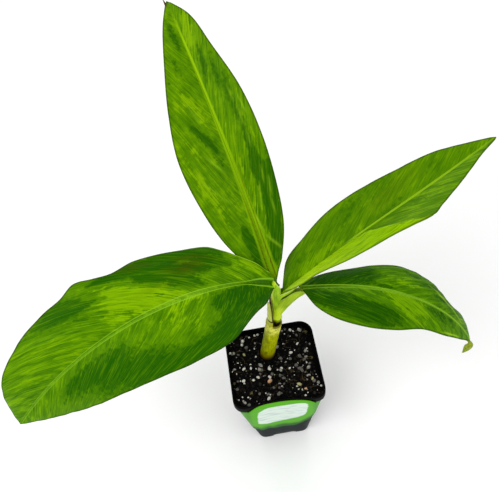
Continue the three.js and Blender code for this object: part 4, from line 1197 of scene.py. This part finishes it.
gutters = {
    "old_sheath": {
        "facing": 205, "rows": 70, "columns": 24,
        "path": [(4.3, 9, 103.2), (4.8, 9, 110), (5.2, 9, 117), (5.6, 9, 127)],
        "radius": (4.2, 4.0, 3.9, 3.9), "halfAngle": (44, 42, 39, 27), "thickness": (0.7, 0.6, 0.5, 0.3),
    },
    "old_sheath_seam": {
        "facing": 222, "rows": 60, "columns": 12,
        "path": [(5.5, 8, 103.6), (5.6, 8.4, 112), (5.8, 9, 122), (6.2, 9.6, 134)],
        "radius": (3.7, 3.7, 3.7, 3.7), "halfAngle": (9, 12, 14, 7), "thickness": (0.5, 0.5, 0.4, 0.3),
    },
    "petiole_lower_right": {
        "facing": -12, "rows": 150, "columns": 64,
        "path": [(6.0, 9.5, 107), (6.2, 9.4, 111.5), (7.3, 9.1, 115.6), (9.3, 8.6, 119.6), (12.1, 7.8, 124.1),
                 (15, 6.9, 128.5), (18.1, 6, 132.4), (21.3, 4.9, 136), (25.5, 3.5, 138.6)],
        "radius": (2.8, 2.95, 3.25, 3.2, 2.9, 2.5, 2.15, 1.85, 1.1),
        "halfAngle": (176, 176, 174, 167, 152, 147, 149, 134, 60),
        "thickness": (0.6, 0.6, 0.6, 0.7, 0.8, 0.9, 1.0, 1.0, 0.5),
        "pull": (0, 0, 0.1, 0.5, 0.7, 0.5, 0.5, 0.4, 0),  # how far the open side is drawn round the next sheath
    },
    "sheath_left": {
        "facing": 205, "rows": 110, "columns": 44,
        "path": [(6.6, 9.1, 119), (6.8, 8.7, 127), (7.1, 7.7, 136), (7.5, 6.9, 142), (7.9, 6.3, 145.8),
                 (8.3, 6.0, 147.8)],
        "radius": (2.6, 2.7, 2.75, 2.6, 2.2, 1.6),
        "halfAngle": (168, 160, 140, 112, 74, 24),
        "thickness": (0.5, 0.5, 0.6, 0.7, 0.6, 0.3),
    },
    "petiole_upper_right": {
        "facing": -3, "rows": 70, "columns": 36,
        "path": [(7.3, 8.4, 128.6), (9.2, 8, 132), (11.5, 7.5, 134.3), (15, 7, 137.5), (20, 6.9, 142.4)],
        "radius": (2.2, 2.3, 2.2, 2, 1.3), "halfAngle": (140, 132, 120, 100, 70),
        "thickness": (0.6, 0.7, 0.8, 0.8, 0.5),
    },
}


def growGutter(name, spec, finish, node, slot):
    points, along, run, radius, halfAngle, thick, pull = smoothPath(
        spec["path"], spec["rows"], spec["radius"], spec["halfAngle"], spec["thickness"],
        spec.get("pull", [0] * len(spec["path"])))
    heading = math.radians(spec["facing"])
    side = np.array([-math.sin(heading), math.cos(heading), 0])
    out = unit(np.cross(side, along))
    share = np.linspace(-1, 1, spec["columns"])
    angle = np.radians(halfAngle)[:, None] * share
    edgeThin = 0.35 + 0.65 * (1 - np.abs(share) ** 6)
    relief = 0.05 * waves(angle * 3, len(name), (1.1, 1.9, 3.3), (1, 1, 1))
    relief = relief + 0.06 * waves(run[:, None] + angle, 3, (6, 11), (1, 1))
    ragged = 0.5 * waves(angle * 3, 6, (1.3, 3.1), (1, 1))[0] * (1 - ease(run, 0, 3))[:, None]
    forward = np.cos(angle)
    forward = forward * (1 + pull[:, None] * ease(-forward, 0, 1))
    grids = []
    for way in (0.5, -0.5):
        reach = radius[:, None] + relief + way * thick[:, None] * edgeThin
        grids.append(points[:, None] + out[:, None] * (reach * forward)[..., None]
                     + side * (reach * np.sin(angle))[..., None] - along[:, None] * ragged[..., None])
    arc = angle * radius[:, None]
    addSheet(name + "_gutter", *grids, finish, node, slot, {
        "spot": np.stack(np.broadcast_arrays(arc, run[:, None], 0), -1),
        "edge": np.radians(halfAngle)[:, None] * radius[:, None] - np.abs(arc),
        "height": run[:, None],
    })


def sheathFinish(name, colours, brownFoot=0.8):
    finish = Finish(name, {"Specular IOR Level": 0.3, "Specular Tint": (0.6, 0.75, 0.1, 1)})
    spot = finish.read("spot", "Vector")
    edge, height, inside = (finish.read(key) for key in ("edge", "height", "lower"))
    lines = finish.grain(spot, (2.4, 0.08, 1), 3, 0.55)
    blotch = finish.grain(spot, (0.4, 0.12, 1), 3, 0.55)
    finish.colour = finish.ramp(lines * 0.5 + blotch * 0.5, [
        (0.34, colours["dark"]), (0.5, colours["mid"]), (0.64, colours["light"])])
    innerEnd = colours.get("innerEnd", colours["inner"])
    finish.coat(inside * 0.85, finish.mix(finish.step(height, 13, 22), colours["inner"], innerEnd))
    # margins: dark brown on the dried sheaths; on the green ones a pale line, partly their own paler edge, partly a
    # painted highlight
    finish.coat((1 - finish.step(edge, 0.15, 0.7)) * colours["edgeShare"], colours["edge"])
    # shine is a painted highlight
    if "shine" in colours:  # a bright lengthwise band: its place and half width round the section, and its strength
        middle, halfWidth, share = colours["shine"]
        aside = finish.split(spot)[0] - middle
        finish.coat((1 - finish.step(aside * aside, 0, halfWidth**2)) * share * (1 - inside), (214, 240, 60))
    if "upper" in colours:  # the stalk past its bend
        finish.coat(finish.step(height, 9, 19) * 0.55, colours["upper"])
    if "collar" in colours:  # below this height it is still the lower stem's skin
        above = height - (colours["collar"] + (blotch - 0.5) * 2)
        finish.coat(1 - finish.step(above, -0.2, 0.2), (176, 180, 44))
        # painted shadow: a dark ring under the rim's lip
        ring = finish.step(above, -0.7, -0.3) * (1 - finish.step(above, 0.6, 1.1))
        finish.coat(ring * 0.95, (44, 30, 8))
    # dark brown foot deep in the cup: a dry ring, and painted shade for the cup's hollow
    finish.coat((1 - finish.step(height, 0.1, 1.4)) * brownFoot, (60, 46, 12))
    return finish.paint(0.4 + blotch * 0.15, lines, 0.1)


freshGreen = {"dark": (138, 180, 2), "mid": (194, 230, 10), "light": (226, 246, 78), "inner": (124, 154, 12),
              "innerEnd": (232, 252, 100), "edge": (216, 230, 130), "edgeShare": 0.75, "upper": (84, 124, 14),
              "shine": (-5.2, 1.8, 0.3)}
hoodGreen = {"dark": (104, 154, 4), "mid": (140, 186, 8), "light": (178, 212, 40), "inner": (96, 124, 14),
             "edge": (210, 228, 120), "edgeShare": 0.75, "shine": (0.5, 1.3, 0.6)}
driedCream = {"dark": (150, 164, 40), "mid": (196, 208, 84), "light": (226, 232, 140), "inner": (110, 90, 30),
              "edge": (60, 40, 8), "edgeShare": 0.95, "collar": 4.8}
driedBrown = {"dark": (48, 32, 4), "mid": (70, 52, 8), "light": (104, 96, 16), "inner": (50, 36, 8),
              "edge": (44, 30, 4), "edgeShare": 0.6}
for name, colours, foot, node, slot in (
        ("petiole_lower_right", freshGreen, 0.8, "petiole_lower_right", "petiole"),
        ("sheath_left", hoodGreen, 0, "sheath_left", "petiole"),
        ("petiole_upper_right", hoodGreen, 0, None, "petiole"),
        ("old_sheath", driedCream, 0, "old_sheath", "dry_sheath"),
        ("old_sheath_seam", driedBrown, 0.9, None, "dry_sheath")):
    growGutter(name, gutters[name], sheathFinish(name + "Skin", colours, foot), node, slot)


def coreFinish():
    finish = Finish("innerStemSkin", {"Specular IOR Level": 0.3, "Specular Tint": (0.6, 0.75, 0.1, 1)})
    spot, height = finish.read("spot", "Vector"), finish.read("height")
    lines = finish.grain(spot, (2.2, 0.1, 1), 3, 0.55)
    finish.colour = finish.ramp(lines, [(0.35, (118, 150, 6)), (0.6, (160, 196, 26))])
    # dark brown foot: partly brown tissue, partly painted shade for the hollow of the cup it stands in
    finish.coat(1 - finish.step(height, 3.5, 6.5), (62, 52, 5))
    return finish.paint(0.42, lines, 0.1)


def makeUpperStem():
    points, along, run, radius = smoothPath(upperStem["path"], 90, upperStem["radius"])
    angles = circle(upperStem["sides"])
    wide = radius[:, None] + 0.06 * waves(angles * 2, 2, (1.4, 2.1, 4.2), (1, 1, 1))
    rings = ringsAlong(points, along, wide, upperStem["sides"], (0, -1, 0))
    spot = np.stack(np.broadcast_arrays(np.abs(fromFront(angles)) * 2, run[:, None], 0), -1)
    addTube("stem_upper_core", rings, coreFinish(), "stem_upper", "stem", {"spot": spot, "height": run[:, None]})


makeUpperStem()
print("stem and sheaths done")
